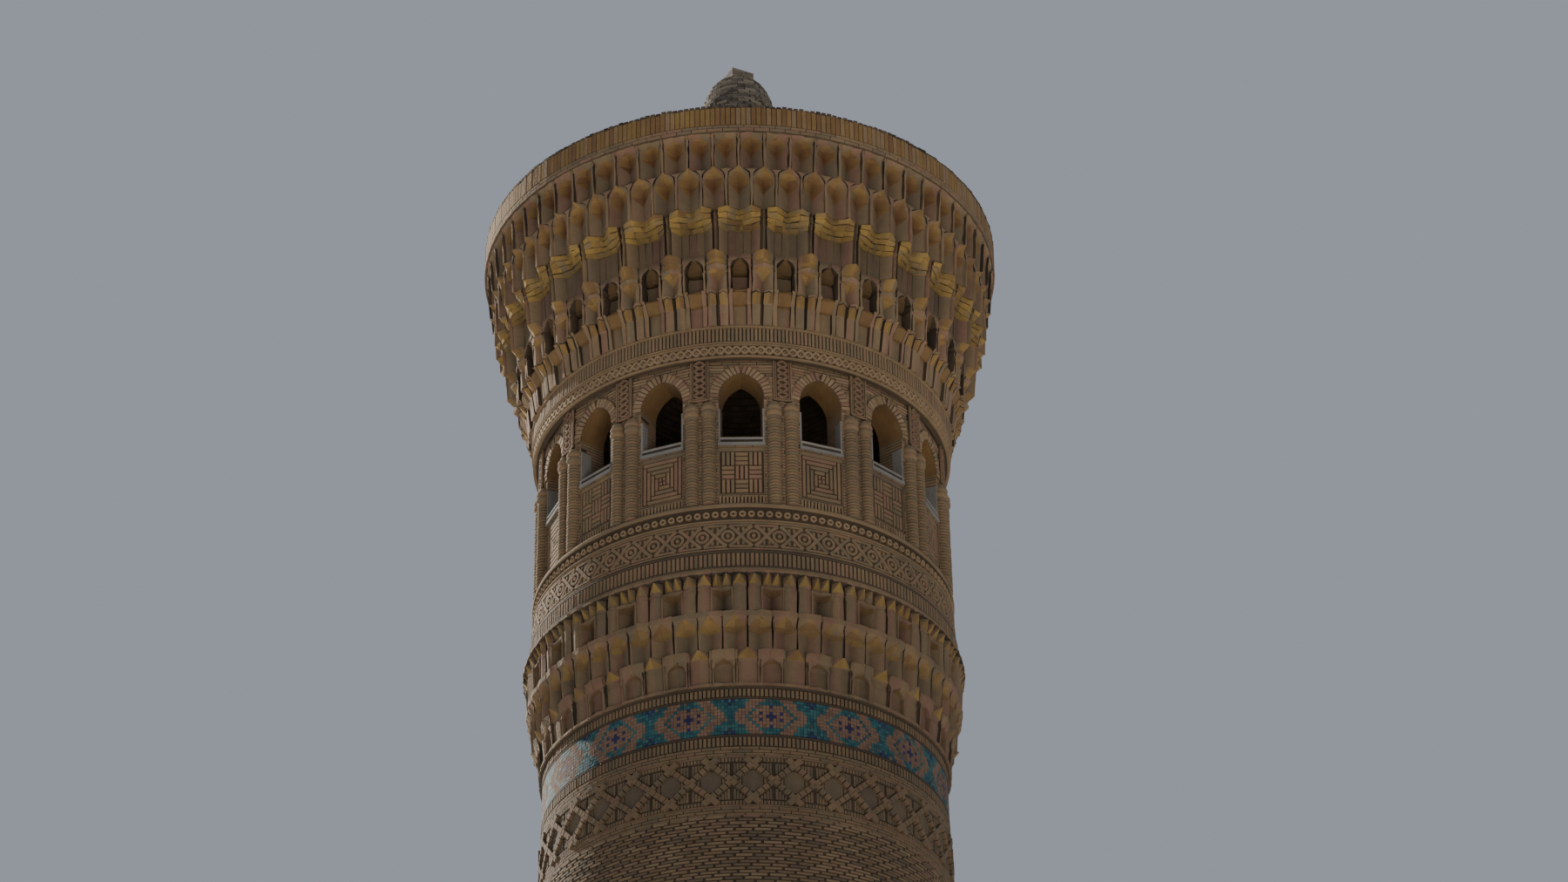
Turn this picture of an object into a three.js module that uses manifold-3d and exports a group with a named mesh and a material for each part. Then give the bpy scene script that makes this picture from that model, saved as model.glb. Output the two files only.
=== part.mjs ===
// Round brick minaret with an arcaded lantern, as a 1:2 scale model.
// Z is up, the origin is at the centre of the plinth's underside, and -Y faces the viewer.
import * as THREE from 'three';
import Module from 'manifold-3d';
import { mergeVertices } from 'three/addons/utils/BufferGeometryUtils.js';

const wasm = await Module();
wasm.setup();

// Lengths below are those of the full-size tower in metres: one metre is 500 model millimetres.
const metre = 500;
const joint = 0.0002;          // half of the joint between wall segments, in radians
const seat = 0.002;            // play between a facing ring and the wall behind it

// Heights of the main levels
const plinthTop = 0.5;
const doorSpring = 2.3;
const doorSliceTop = 3.5;
const shaftTop = 29.81;
const tileBeltBase = 30.82;
const muqarnasBase = 31.88;
const muqarnasSecond = 32.43;
const muqarnasThird = 33.0;
const starBeltBase = 33.64;
const beadBeltBase = 34.55;
const lanternBase = 34.87;
const floorTop = 35.05;
const sillTop = 36.1;
const archSpring = 36.8;
const friezeBase = 37.47;
const corniceBase = 37.97;
const tierTwo = 38.5;
const tierThree = 39.1;
const tierFour = 39.8;
const tierFive = 40.455;
const deckBase = 41.05;
const deckTop = 41.17;
const rimTop = 41.56;
const capBase = 45.24;
const towerTop = 45.44;

// Radii and widths
const plinthRadius = 4.62;
const shaftFootRadius = 4.45;
const shaftTopRadius = 3.045;
const beltWallRadius = 2.96;
const stairwellApothem = 1.3;
const lanternOuterApothem = 3.12;
const lanternInnerApothem = 2.7;
const corniceInnerApothem = 2.8;
const rimInnerRadius = 3.87;
const deckRadius = 3.86;
const capSide = 0.4;

// Counts around the tower
const wallSegments = 8;
const corniceSegments = 4;
const facets = 48;
const bays = 16;
const upperCells = 32;
const lowerCells = 28;

// Doorway and windows
const doorHalf = 0.45;
const doorRise = 0.5;
const openingHalf = 0.34;
const innerOpeningHalf = 0.29;
const openingRise = 0.44;
const panelHalf = 0.345;
const panelBase = 35.08;
const panelTop = 35.96;
const panelDepth = 0.05;
const colonetteOffset = 0.49;
const colonetteRadius = 0.105;
const capitalBase = 36.46;
const capitalTop = 36.62;
const capitalRadius = 0.122;

// Stair hatch in the lantern floor
const hatchHalf = 0.45;
const hatchNear = 0.0;
const hatchFar = 1.1;

const turn = Math.PI * 2;
const front = -Math.PI / 2;

const brick = new THREE.MeshStandardMaterial({ color: 0x6b5a45, roughness: 0.95, metalness: 0 });
const paleBrick = new THREE.MeshStandardMaterial({ color: 0x8a755a, roughness: 0.95, metalness: 0 });
const ochreBrick = new THREE.MeshStandardMaterial({ color: 0x80633a, roughness: 0.9, metalness: 0 });
const glazedTile = new THREE.MeshStandardMaterial({ color: 0x1f6f78, roughness: 0.3, metalness: 0 });

const tower = new THREE.Group();

function addPiece(name, geometry, material) {
  const mesh = new THREE.Mesh(geometry, material);
  mesh.name = name;
  tower.add(mesh);
}

// A closed surface from its corner points (full-size metres) and triangles
function surface(points, triangles) {
  const geometry = new THREE.BufferGeometry();
  const positions = points.flat().map((value) => value * metre);
  geometry.setAttribute('position', new THREE.Float32BufferAttribute(positions, 3));
  geometry.setIndex(triangles.flat());
  const merged = mergeVertices(geometry, 0.01);
  const index = Array.from(merged.index.array);
  const kept = [];
  for (let i = 0; i < index.length; i += 3) {
    const [a, b, c] = index.slice(i, i + 3);
    if (a !== b && b !== c && c !== a) {
      kept.push(a, b, c);
    }
  }
  merged.setIndex(kept);
  merged.computeVertexNormals();
  return merged;
}

// Side faces between neighbouring loops of equally many points
function skin(loops) {
  const count = loops[0].length;
  const triangles = [];
  for (let k = 0; k < loops.length - 1; k += 1) {
    const low = k * count;
    const high = low + count;
    for (let i = 0; i < count; i += 1) {
      const j = (i + 1) % count;
      triangles.push([low + i, low + j, high + j], [low + i, high + j, high + i]);
    }
  }
  return triangles;
}

// A solid through flat loops stacked upwards, each running anticlockwise seen from above
function stack(loops) {
  const triangles = skin(loops);
  const count = loops[0].length;
  const outline = loops[0].map(([x, y]) => new THREE.Vector2(x, y));
  const high = (loops.length - 1) * count;
  for (const [a, b, c] of THREE.ShapeUtils.triangulateShape(outline, [])) {
    triangles.push([c, b, a], [high + a, high + b, high + c]);
  }
  return surface(loops.flat(), triangles);
}

const polar = (radius, angle, z) => [radius * Math.cos(angle), radius * Math.sin(angle), z];

// Outline of a wall segment between two angles: faceted outside, one flat face inside
function segmentLoop(z, outer, apothem, centre, half, steps) {
  const loop = [];
  const reach = half - joint;
  for (let i = 0; i <= steps; i += 1) {
    loop.push(polar(outer, centre - reach + (2 * reach * i) / steps, z));
  }
  const inner = apothem / Math.cos(half);
  loop.push(polar(inner, centre + reach, z), polar(inner, centre - reach, z));
  return loop;
}

// A ring with a star-shaped outside: each level lists [share of a cell, radius] round one cell
function cellRing(levels, cells, phase, innerRadii) {
  const loops = levels.map(({ z, points }) => {
    const loop = [];
    for (let cell = 0; cell < cells; cell += 1) {
      for (const [share, radius] of points) {
        loop.push(polar(radius, front + (turn * (cell + phase + share)) / cells, z));
      }
    }
    return loop;
  });
  const holes = innerRadii.map(([z, radius]) => (
    Array.from({ length: facets }, (_, i) => polar(radius, front + (turn * i) / facets, z))));
  const triangles = skin(loops);
  const outerCount = loops[0].length;
  const firstHole = loops.length * outerCount;
  const secondHole = firstHole + facets;
  for (const [low, high, opposite] of skin(holes)) {
    triangles.push([firstHole + opposite, firstHole + high, firstHole + low]);
  }
  const flat = (loop) => loop.map(([x, y]) => new THREE.Vector2(x, y));
  const addFace = (loop, hole, loopStart, holeStart, faceUp) => {
    const corner = (i) => (i < outerCount ? loopStart + i : holeStart + i - outerCount);
    for (const [a, b, c] of THREE.ShapeUtils.triangulateShape(flat(loop), [flat(hole)])) {
      triangles.push(faceUp ? [corner(a), corner(b), corner(c)] : [corner(c), corner(b), corner(a)]);
    }
  };
  addFace(loops[0], holes[0], 0, firstHole, false);
  addFace(loops[loops.length - 1], holes[1], firstHole - outerCount, secondHole, true);
  return surface([...loops.flat(), ...holes.flat()], triangles);
}

// A turned solid from a profile of [radius, height], closed on itself or on the axis
function turned(profile, sides) {
  const points = profile.map(([radius, z]) => new THREE.Vector2(radius * metre, z * metre));
  const geometry = new THREE.LatheGeometry(points, sides);
  geometry.rotateX(Math.PI / 2);
  geometry.deleteAttribute('normal');
  geometry.deleteAttribute('uv');
  const merged = mergeVertices(geometry, 0.01);
  const index = merged.index.array;
  const kept = [];
  for (let i = 0; i < index.length; i += 3) {
    const [a, b, c] = [index[i], index[i + 1], index[i + 2]];
    if (a !== b && b !== c && c !== a) {
      kept.push(a, b, c);
    }
  }
  merged.setIndex(kept);
  return merged;
}

// A ring of facing round the wall, from its outer profile and its inner radius
function facingRing(outer, inner) {
  const base = outer[0][1];
  const top = outer[outer.length - 1][1];
  return turned([[inner, base], ...outer, [inner, top], [inner, base]], facets);
}

// Booleans
function toSolid(geometry) {
  const plain = mergeVertices(geometry, 0.01);
  return new wasm.Manifold(new wasm.Mesh({
    numProp: 3,
    vertProperties: new Float32Array(plain.attributes.position.array),
    triVerts: new Uint32Array(plain.index.array),
  }));
}

function toGeometry(solid) {
  const mesh = solid.getMesh();
  const geometry = new THREE.BufferGeometry();
  geometry.setAttribute('position', new THREE.BufferAttribute(new Float32Array(mesh.vertProperties), 3));
  geometry.setIndex(Array.from(mesh.triVerts));
  return geometry;
}

// Outline of a pointed opening as [across, height], anticlockwise from its lower right corner
function archOutline(half, base, spring, rise, steps) {
  const outline = [[half, base]];
  const offset = (rise * rise - half * half) / (2 * half);
  const radius = half + offset;
  const sweep = Math.atan2(rise, offset);
  for (let i = 0; i <= steps; i += 1) {
    const angle = (sweep * i) / steps;
    outline.push([radius * Math.cos(angle) - offset, spring + radius * Math.sin(angle)]);
  }
  for (let i = steps - 1; i >= 0; i -= 1) {
    const angle = (sweep * i) / steps;
    outline.push([offset - radius * Math.cos(angle), spring + radius * Math.sin(angle)]);
  }
  outline.push([-half, base]);
  return outline;
}

// A solid plug through a wall that faces -Y, narrowing from its outer to its inner outline
function plug(outer, outerY, inner, innerY) {
  const near = outer.map(([x, z]) => [x, outerY, z]);
  const far = inner.map(([x, z]) => [x, innerY, z]);
  const triangles = skin([near, far]).map(([a, b, c]) => [c, b, a]);
  const count = near.length;
  const flat = outer.map(([x, z]) => new THREE.Vector2(x, z));
  for (const [a, b, c] of THREE.ShapeUtils.triangulateShape(flat, [])) {
    triangles.push([a, b, c], [count + c, count + b, count + a]);
  }
  return surface([...near, ...far], triangles);
}

// Plinth and shaft
addPiece('plinth', turned([
  [0, 0], [plinthRadius, 0], [plinthRadius, plinthTop], [0, plinthTop],
], facets), brick);

const shaftRadiusAt = (z) => (
  shaftFootRadius + ((shaftTopRadius - shaftFootRadius) * (z - plinthTop)) / (shaftTop - plinthTop)
);
const segmentHalf = Math.PI / wallSegments;
const segmentFacets = facets / wallSegments;

function shaftSegment(base, centre) {
  const loops = [
    [base, shaftRadiusAt(base)],
    [shaftTop, shaftTopRadius],
    [shaftTop, beltWallRadius],
    [lanternBase, beltWallRadius],
  ];
  return stack(loops.map(([z, radius]) => (
    segmentLoop(z, radius, stairwellApothem, centre, segmentHalf, segmentFacets))));
}

const doorSegment = wallSegments / 2;
for (let i = 0; i < wallSegments; i += 1) {
  const base = i === doorSegment ? doorSliceTop : plinthTop;
  addPiece(`shaft_wall_${i + 1}`, shaftSegment(base, front + (turn * i) / wallSegments), brick);
}

// Doorway through the back of the wall: two jambs and the arch over them, facing -Y until turned
function doorSlice(base, top) {
  return stack([[base, shaftRadiusAt(base)], [top, shaftRadiusAt(top)]].map(([z, radius]) => (
    segmentLoop(z, radius, stairwellApothem, front, segmentHalf, segmentFacets))));
}

function box(x0, x1, y0, y1, z0, z1) {
  const geometry = new THREE.BoxGeometry((x1 - x0) * metre, (y1 - y0) * metre, (z1 - z0) * metre);
  geometry.translate(((x0 + x1) / 2) * metre, ((y0 + y1) / 2) * metre, ((z0 + z1) / 2) * metre);
  geometry.deleteAttribute('normal');
  geometry.deleteAttribute('uv');
  return toSolid(geometry);
}

function addAtBack(name, solid) {
  const geometry = toGeometry(solid);
  geometry.rotateZ(Math.PI);
  addPiece(name, geometry, brick);
}

const jambSlice = toSolid(doorSlice(plinthTop, doorSpring));
addAtBack('door_jamb_left', jambSlice.subtract(box(-doorHalf, 5, -5, 0, 0, 5)));
addAtBack('door_jamb_right', jambSlice.subtract(box(-5, doorHalf, -5, 0, 0, 5)));
const doorOutline = archOutline(doorHalf, doorSpring - 0.1, doorSpring, doorRise, 5);
addAtBack('door_arch', toSolid(doorSlice(doorSpring, doorSliceTop))
  .subtract(toSolid(plug(doorOutline, -5, doorOutline, -1))));

// Belts round the top of the shaft
const beltInner = beltWallRadius + seat;
addPiece('girih_belt', facingRing([[3.05, shaftTop], [3.045, tileBeltBase]], beltInner), paleBrick);
addPiece('tile_belt', facingRing([[3.035, tileBeltBase], [3.045, muqarnasBase]], beltInner), glazedTile);

// Three tiers of niches, corbelled outwards; the middle tier has twice as many, half as wide
const lowerHoodRise = 0.15;

function lowerTier(name, base, top, foot, head, cells, phase, opening) {
  const frame = opening + 0.04;
  const cell = (radius, sunk) => [
    [-frame, radius], [-opening, radius - sunk], [opening, radius - sunk], [frame, radius],
  ];
  const hood = [[-frame, head], [-0.05, head], [0.05, head], [frame, head]];
  addPiece(name, cellRing([
    { z: base, points: cell(foot, 0.08) },
    { z: top - lowerHoodRise, points: cell(head - 0.03, 0.08) },
    { z: top, points: hood },
  ], cells, phase, [[base, beltInner], [top, beltInner]]), ochreBrick);
}

lowerTier('lower_muqarnas_1', muqarnasBase, muqarnasSecond, 3.085, 3.2, lowerCells, 0.58, 0.2);
lowerTier('lower_muqarnas_2', muqarnasSecond, muqarnasThird, 3.21, 3.29, lowerCells * 2, 0.66, 0.3);
lowerTier('lower_muqarnas_3', muqarnasThird, starBeltBase, 3.3, 3.35, lowerCells, 0.58, 0.19);

addPiece('star_belt', facingRing([
  [3.32, starBeltBase], [3.28, 34.03], [3.24, beadBeltBase],
], beltInner), paleBrick);
addPiece('bead_belt', facingRing([[3.24, beadBeltBase], [3.23, lanternBase]], beltInner), paleBrick);

// Lantern: floor with its stair hatch, and sixteen bays with a window each
function lanternFloor() {
  const shape = new THREE.Shape();
  for (let i = 0; i < facets; i += 1) {
    const [x, y] = polar(lanternInnerApothem - seat, (turn * i) / facets, 0);
    shape[i === 0 ? 'moveTo' : 'lineTo'](x * metre, y * metre);
  }
  const hatch = new THREE.Path();
  hatch.moveTo(-hatchHalf * metre, hatchNear * metre);
  hatch.lineTo(-hatchHalf * metre, hatchFar * metre);
  hatch.lineTo(hatchHalf * metre, hatchFar * metre);
  hatch.lineTo(hatchHalf * metre, hatchNear * metre);
  shape.holes.push(hatch);
  const depth = (floorTop - lanternBase) * metre;
  const geometry = new THREE.ExtrudeGeometry(shape, { depth, bevelEnabled: false });
  geometry.translate(0, 0, lanternBase * metre);
  return geometry;
}
addPiece('lantern_floor', lanternFloor(), brick);

function shaftedColonette(across) {
  const geometry = turned([
    [0, lanternBase], [colonetteRadius, lanternBase], [colonetteRadius, capitalBase],
    [capitalRadius, (capitalBase + capitalTop) / 2], [colonetteRadius, capitalTop], [0, capitalTop],
  ], 8);
  geometry.rotateZ(Math.PI / 8);
  geometry.translate(across * metre, -lanternOuterApothem * metre, 0);
  return toSolid(geometry);
}

function lanternBay() {
  const half = Math.PI / bays;
  const outer = lanternOuterApothem / Math.cos(half);
  const loop = (z) => segmentLoop(z, outer, lanternInnerApothem, front, half, 1);
  const wall = toSolid(stack([loop(lanternBase), loop(corniceBase)]));
  const face = archOutline(openingHalf, sillTop, archSpring, openingRise, 4);
  const back = archOutline(innerOpeningHalf, sillTop, archSpring, openingRise, 4);
  const beyond = 0.2;
  const splay = (openingHalf - innerOpeningHalf) / (lanternOuterApothem - lanternInnerApothem);
  const widen = 1 + (splay * beyond) / openingHalf;
  const narrow = 1 - (splay * beyond) / innerOpeningHalf;
  const window = plug(
    face.map(([x, z]) => [x * widen, z]), -lanternOuterApothem - beyond,
    back.map(([x, z]) => [x * narrow, z]), -lanternInnerApothem + beyond,
  );
  return wall
    .add(shaftedColonette(-colonetteOffset))
    .add(shaftedColonette(colonetteOffset))
    .subtract(box(-panelHalf, panelHalf, -lanternOuterApothem - beyond, -lanternOuterApothem + panelDepth,
      panelBase, panelTop))
    .subtract(toSolid(window));
}

const bay = toGeometry(lanternBay());
for (let i = 0; i < bays; i += 1) {
  const geometry = bay.clone();
  geometry.rotateZ((turn * i) / bays);
  addPiece(`lantern_bay_${String(i + 1).padStart(2, '0')}`, geometry, brick);
}

const bayCorner = lanternOuterApothem / Math.cos(Math.PI / bays) / Math.cos(Math.PI / facets);
addPiece('lantern_frieze', facingRing([
  [3.31, friezeBase], [3.34, corniceBase],
], bayCorner + seat), paleBrick);

// Cornice: the wall behind it, and five tiers of niches stepping outwards
const coreProfile = [
  [corniceBase, 3.2], [tierThree, 3.36], [tierFour, 3.66], [tierFive, 3.86], [deckBase, 3.92],
];

function coreRadiusAt(z) {
  let k = 0;
  while (k < coreProfile.length - 2 && z > coreProfile[k + 1][0]) {
    k += 1;
  }
  const [z0, r0] = coreProfile[k];
  const [z1, r1] = coreProfile[k + 1];
  return r0 + ((r1 - r0) * (z - z0)) / (z1 - z0);
}

// Outline of a quarter of the cornice wall: faceted outside, two flat faces inside
function quarterLoop(z, outer, centre) {
  const half = Math.PI / corniceSegments;
  const reach = half - joint;
  const steps = facets / corniceSegments;
  const loop = [];
  for (let i = 0; i <= steps; i += 1) {
    loop.push(polar(outer, centre - reach + (2 * reach * i) / steps, z));
  }
  const inner = corniceInnerApothem / Math.cos(half / 2);
  for (const angle of [reach, 0, -reach]) {
    loop.push(polar(inner, centre + angle, z));
  }
  return loop;
}

for (let i = 0; i < corniceSegments; i += 1) {
  const centre = front + (turn * i) / corniceSegments;
  const loops = coreProfile.map(([z, radius]) => quarterLoop(z, radius, centre));
  addPiece(`cornice_wall_${i + 1}`, stack(loops), brick);
}

const tierInner = (base, top) => [[base, coreRadiusAt(base) + seat], [top, coreRadiusAt(top) + seat]];
const sunkCell = (radius, edge, back, sunk) => [
  [-edge, radius], [-back, radius - sunk], [back, radius - sunk], [edge, radius],
];

addPiece('cornice_tier_1', cellRing([
  { z: corniceBase, points: sunkCell(3.4, 0.26, 0.25, 0.05) },
  { z: 38.28, points: sunkCell(3.45, 0.26, 0.25, 0.05) },
  { z: 38.34, points: sunkCell(3.47, 0.26, 0.1, 0) },
  { z: tierTwo, points: sunkCell(3.56, 0.26, 0.1, 0) },
], upperCells, 0, tierInner(corniceBase, tierTwo)), ochreBrick);

const nicheCell = (rib, face, sunk, back) => [
  [-0.5, rib], [-0.24, face], [-back, face - sunk], [back, face - sunk], [0.24, face],
];
addPiece('cornice_tier_2', cellRing([
  { z: tierTwo, points: nicheCell(3.57, 3.57, 0.2, 0.21) },
  { z: 38.86, points: nicheCell(3.62, 3.6, 0.22, 0.21) },
  { z: 39.03, points: nicheCell(3.72, 3.62, 0.01, 0.03) },
  { z: tierThree, points: nicheCell(3.77, 3.64, 0, 0.03) },
], upperCells, 0, tierInner(tierTwo, tierThree)), ochreBrick);

// Pleated tiers: the outer edges of one tier stand over the valleys of the tier below
const pleats = (rib, shoulder, centre) => [
  [-0.5, rib], [-0.25, shoulder], [0, centre], [0.25, shoulder],
];
addPiece('cornice_tier_3', cellRing([
  { z: tierThree, points: pleats(3.78, 3.62, 3.62) },
  { z: 39.46, points: pleats(3.85, 3.69, 3.69) },
  { z: tierFour, points: pleats(3.86, 3.955, 3.87) },
], upperCells, 0, tierInner(tierThree, tierFour)), ochreBrick);

const veeCell = (edge, valley) => [[-0.5, edge], [0, valley]];
addPiece('cornice_tier_4', cellRing([
  { z: tierFour, points: veeCell(3.96, 3.79) },
  { z: 40.15, points: veeCell(3.97, 3.82) },
  { z: tierFive, points: veeCell(3.98, 4.06) },
], upperCells * 2, 0, tierInner(tierFour, tierFive)), ochreBrick);
addPiece('cornice_tier_5', cellRing([
  { z: tierFive, points: veeCell(4.065, 3.9) },
  { z: 40.85, points: veeCell(4.1, 3.95) },
  { z: deckBase, points: veeCell(4.125, 4.12) },
], upperCells * 2, 0.5, tierInner(tierFive, deckBase)), ochreBrick);

// Roof: inner vault, deck, rim of upright bricks, and the cupola with its square cap
const vaultSteps = 6;
const vaultPoint = (radius, rise, step) => [
  radius * Math.cos((Math.PI / 2) * (step / vaultSteps)),
  corniceBase + rise * Math.sin((Math.PI / 2) * (step / vaultSteps)),
];
const vaultProfile = [];
for (let i = 0; i <= vaultSteps; i += 1) {
  vaultProfile.push(vaultPoint(corniceInnerApothem - seat, 2.2, i));
}
for (let i = vaultSteps; i >= 0; i -= 1) {
  vaultProfile.push(vaultPoint(2.5, 1.85, i));
}
vaultProfile.push(vaultProfile[0]);
addPiece('lantern_vault', turned(vaultProfile, 24), brick);

addPiece('roof_deck', turned([
  [0, deckBase], [deckRadius, deckBase], [deckRadius, deckTop], [0, deckTop],
], facets), brick);
addPiece('roof_rim', facingRing([
  [4.135, deckBase], [4.135, 41.14], [4.16, deckTop], [4.17, rimTop],
], rimInnerRadius), paleBrick);

addPiece('cupola', turned([
  [0, deckTop], [1.3, deckTop], [0.68, 44.2], [0.62, 44.6],
  [0.53, 44.95], [0.43, 45.1], [0.25, capBase], [0, capBase],
], 24), brick);
const cap = new THREE.BoxGeometry(capSide * metre, capSide * metre, (towerTop - capBase) * metre);
cap.rotateZ(THREE.MathUtils.degToRad(27));
cap.translate(0, 0, ((towerTop + capBase) / 2) * metre);
addPiece('cupola_cap', cap, brick);

export default tower;
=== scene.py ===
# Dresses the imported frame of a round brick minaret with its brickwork, niches, tiles and openings.
from math import atan2, ceil, cos, hypot, pi, radians, sin, tan, tau

import bmesh
import bpy
import numpy as np
from mathutils import Matrix, Vector


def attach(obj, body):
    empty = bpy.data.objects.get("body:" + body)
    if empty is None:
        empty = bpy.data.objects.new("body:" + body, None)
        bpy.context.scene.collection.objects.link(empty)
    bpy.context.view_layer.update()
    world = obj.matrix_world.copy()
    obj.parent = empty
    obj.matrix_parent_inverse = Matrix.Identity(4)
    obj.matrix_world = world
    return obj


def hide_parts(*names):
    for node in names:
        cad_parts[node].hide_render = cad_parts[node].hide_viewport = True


# Lengths are those of the full-size tower in metres; the model shows it at half size.
metre = 0.5
front = -pi / 2  # the side that the camera sees
chance = np.random.default_rng(11)
coursePitch = 0.0515
raking = 0.37  # each course is shifted by this share of a brick

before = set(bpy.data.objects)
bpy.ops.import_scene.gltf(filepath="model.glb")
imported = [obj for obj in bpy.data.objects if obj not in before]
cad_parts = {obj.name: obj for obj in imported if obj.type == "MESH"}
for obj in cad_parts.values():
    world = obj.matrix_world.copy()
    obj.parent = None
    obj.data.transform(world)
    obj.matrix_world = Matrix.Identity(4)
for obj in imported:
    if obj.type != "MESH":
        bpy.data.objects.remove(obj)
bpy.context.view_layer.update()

print("camera")
view = {"distance": 50, "eyeHeight": 5.57, "lens": 86, "upwards": 33, "aside": 0.0135, "roll": 0.018}
camera = bpy.data.objects.new("camera", bpy.data.cameras.new("camera"))
bpy.context.scene.collection.objects.link(camera)
bpy.context.scene.camera = camera
camera.data.lens = view["lens"]
camera.data.sensor_width = 36
camera.data.clip_end = 600
camera.matrix_world = (
    Matrix.Translation((0, -view["distance"] * metre, view["eyeHeight"] * metre))
    @ Matrix.Rotation(-view["aside"], 4, "Z")
    @ Matrix.Rotation(radians(90 + view["upwards"]), 4, "X")
    @ Matrix.Rotation(-view["roll"], 4, "Z")
)

shaft = {
    "foot": 0.5, "footRadius": 4.45, "top": 29.81, "topRadius": 3.045, "head": 34.87, "headRadius": 2.96,
    "wellApothem": 1.3, "doorHalf": 0.45, "doorSpring": 2.3, "doorRise": 0.5, "reliefBase": 26.5,
    "length": 0.265, "upright": 0.038, "flat": 0.018, "sunk": 0.02,
}


# The height is a number or a shader's value, so that drawn courses follow the taper too
def shaftRadius(z):
    share = (z - shaft["foot"]) / (shaft["top"] - shaft["foot"])
    return shaft["footRadius"] + (shaft["topRadius"] - shaft["footRadius"]) * share


print("materials")


class Value:
    def __init__(self, tree, socket):
        self.tree = tree
        self.socket = socket

    def node(self, kind, inputs, output=0, **settings):
        made = self.tree.nodes.new(kind)
        for name, setting in settings.items():
            setattr(made, name, setting)
        for key, item in inputs.items():
            if isinstance(item, Value):
                self.tree.links.new(item.socket, made.inputs[key])
            else:
                made.inputs[key].default_value = item
        return Value(self.tree, made.outputs[output])

    def math(self, operation, *others):
        return self.node("ShaderNodeMath", dict(enumerate((self, *others))), operation=operation)

    def __add__(self, other):
        return self.math("ADD", other)

    def __sub__(self, other):
        return self.math("SUBTRACT", other)

    def __rsub__(self, other):
        return self * -1 + other

    def __mul__(self, other):
        return self.math("MULTIPLY", other)

    def __truediv__(self, other):
        return self.math("DIVIDE", other)

    __radd__ = __add__
    __rmul__ = __mul__


def tint(red, green, blue):
    levels = []
    for value in (red / 255, green / 255, blue / 255):
        levels.append(value / 12.92 if value <= 0.04045 else ((value + 0.055) / 1.055) ** 2.4)
    return (*levels, 1)


def part(place, axis):
    return place.node("ShaderNodeSeparateXYZ", {"Vector": place}, axis)


def noise(place, scale, detail, stretch=(1, 1, 1)):
    moved = place.node("ShaderNodeVectorMath", {0: place, 1: stretch}, operation="MULTIPLY")
    return place.node("ShaderNodeTexNoise", {"Vector": moved, "Scale": scale, "Detail": detail}, "Fac")


def blend(share, low, high):
    return share.node("ShaderNodeMix", {0: share, 6: low, 7: high}, 2, data_type="RGBA")


def dim(colour, amount):
    return amount.node("ShaderNodeVectorMath", {0: colour, "Scale": amount}, operation="SCALE")


def ramp(value, stops):
    made = value.node("ShaderNodeValToRGB", {"Fac": value}, "Color")
    points = made.socket.node.color_ramp.elements
    while len(points) < len(stops):
        points.new(0.5)
    for point, (position, colour) in zip(points, stops):
        point.position = position
        point.color = colour
    return made


# painted shade: the height below which it starts, how far down it fades in, and how strongly it darkens there
# and in recesses
paintedShade = {"top": 38, "fade": 8, "below": 0.44, "recess": 0.5}


# Broad patches, streaks of rain and fine grain, and painted shade in the recesses and below the cornice
def weatheredAndShaded(place, colour):
    patches = noise(place, 1.1, 5)
    streaks = noise(place, 7, 4, (1, 1, 0.12))
    stains = noise(place, 14, 5)
    speckle = noise(place, 150, 3)
    # painted shade: the shade attribute darkens recesses, and everything below the cornice grows darker
    # downwards
    recess = place.node("ShaderNodeAttribute", {}, "Fac", attribute_name="shade")
    below = ((paintedShade["top"] - part(place, "Z") / metre) / paintedShade["fade"]).math("MINIMUM", 1).math("MAXIMUM", 0)
    amount = 0.2 + 0.5 * patches + 0.42 * streaks + 0.34 * stains + 0.34 * speckle
    return dim(colour, amount * (1 - paintedShade["recess"] * recess) * (1 - paintedShade["below"] * below))


def addMaterial(name, look):
    made = bpy.data.materials.new(name)
    made.use_nodes = True
    tree = made.node_tree
    shader = next(node for node in tree.nodes if node.type == "BSDF_PRINCIPLED")
    place = Value(tree, tree.nodes.new("ShaderNodeTexCoord").outputs["Object"])
    surface = look(place)
    relief = place.node("ShaderNodeBump", {
        "Height": surface["height"], "Strength": 0.7, "Distance": surface["depth"] * metre,
    })
    tree.links.new(surface["colour"].socket, shader.inputs["Base Color"])
    tree.links.new(relief.socket, shader.inputs["Normal"])
    tree.links.new(surface["roughness"].socket, shader.inputs["Roughness"])
    return made


clay = {
    "ash": tint(112, 96, 78),
    "olive": tint(124, 106, 80),
    "sand": tint(136, 112, 82),
    "rose": tint(136, 104, 84),
    "pale": tint(152, 128, 98),
    "ochre": tint(134, 106, 60),
    "amber": tint(158, 128, 66),
    "umber": tint(126, 98, 60),
    "honey": tint(144, 114, 64),
    "rust": tint(118, 86, 58),
    "brown": tint(126, 94, 72),
    "shadow": tint(54, 44, 34),
    "bed": tint(88, 72, 54),
}


# Raking courses drawn on a wall that isn't built brick by brick
def bond(place, radius, upright, flat):
    height = part(place, "Z") / metre
    course = (height / coursePitch).math("FLOOR")
    angle = part(place, "Y").math("ARCTAN2", part(place, "X"))
    number = (tau * radius(course * coursePitch) / shaft["length"]).math("FLOOR")
    along = angle * number / tau + course * raking
    brick = along.math("FLOOR")
    across = along.math("FRACT") * shaft["length"]
    rise = (height / coursePitch).math("FRACT") * coursePitch
    joint = across.math("LESS_THAN", upright).math("MAXIMUM", rise.math("LESS_THAN", flat))
    cell = place.node("ShaderNodeCombineXYZ", {"X": brick, "Y": course})
    lot = place.node("ShaderNodeTexWhiteNoise", {"Vector": cell}, "Value", noise_dimensions="2D")
    return lot, joint


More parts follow.
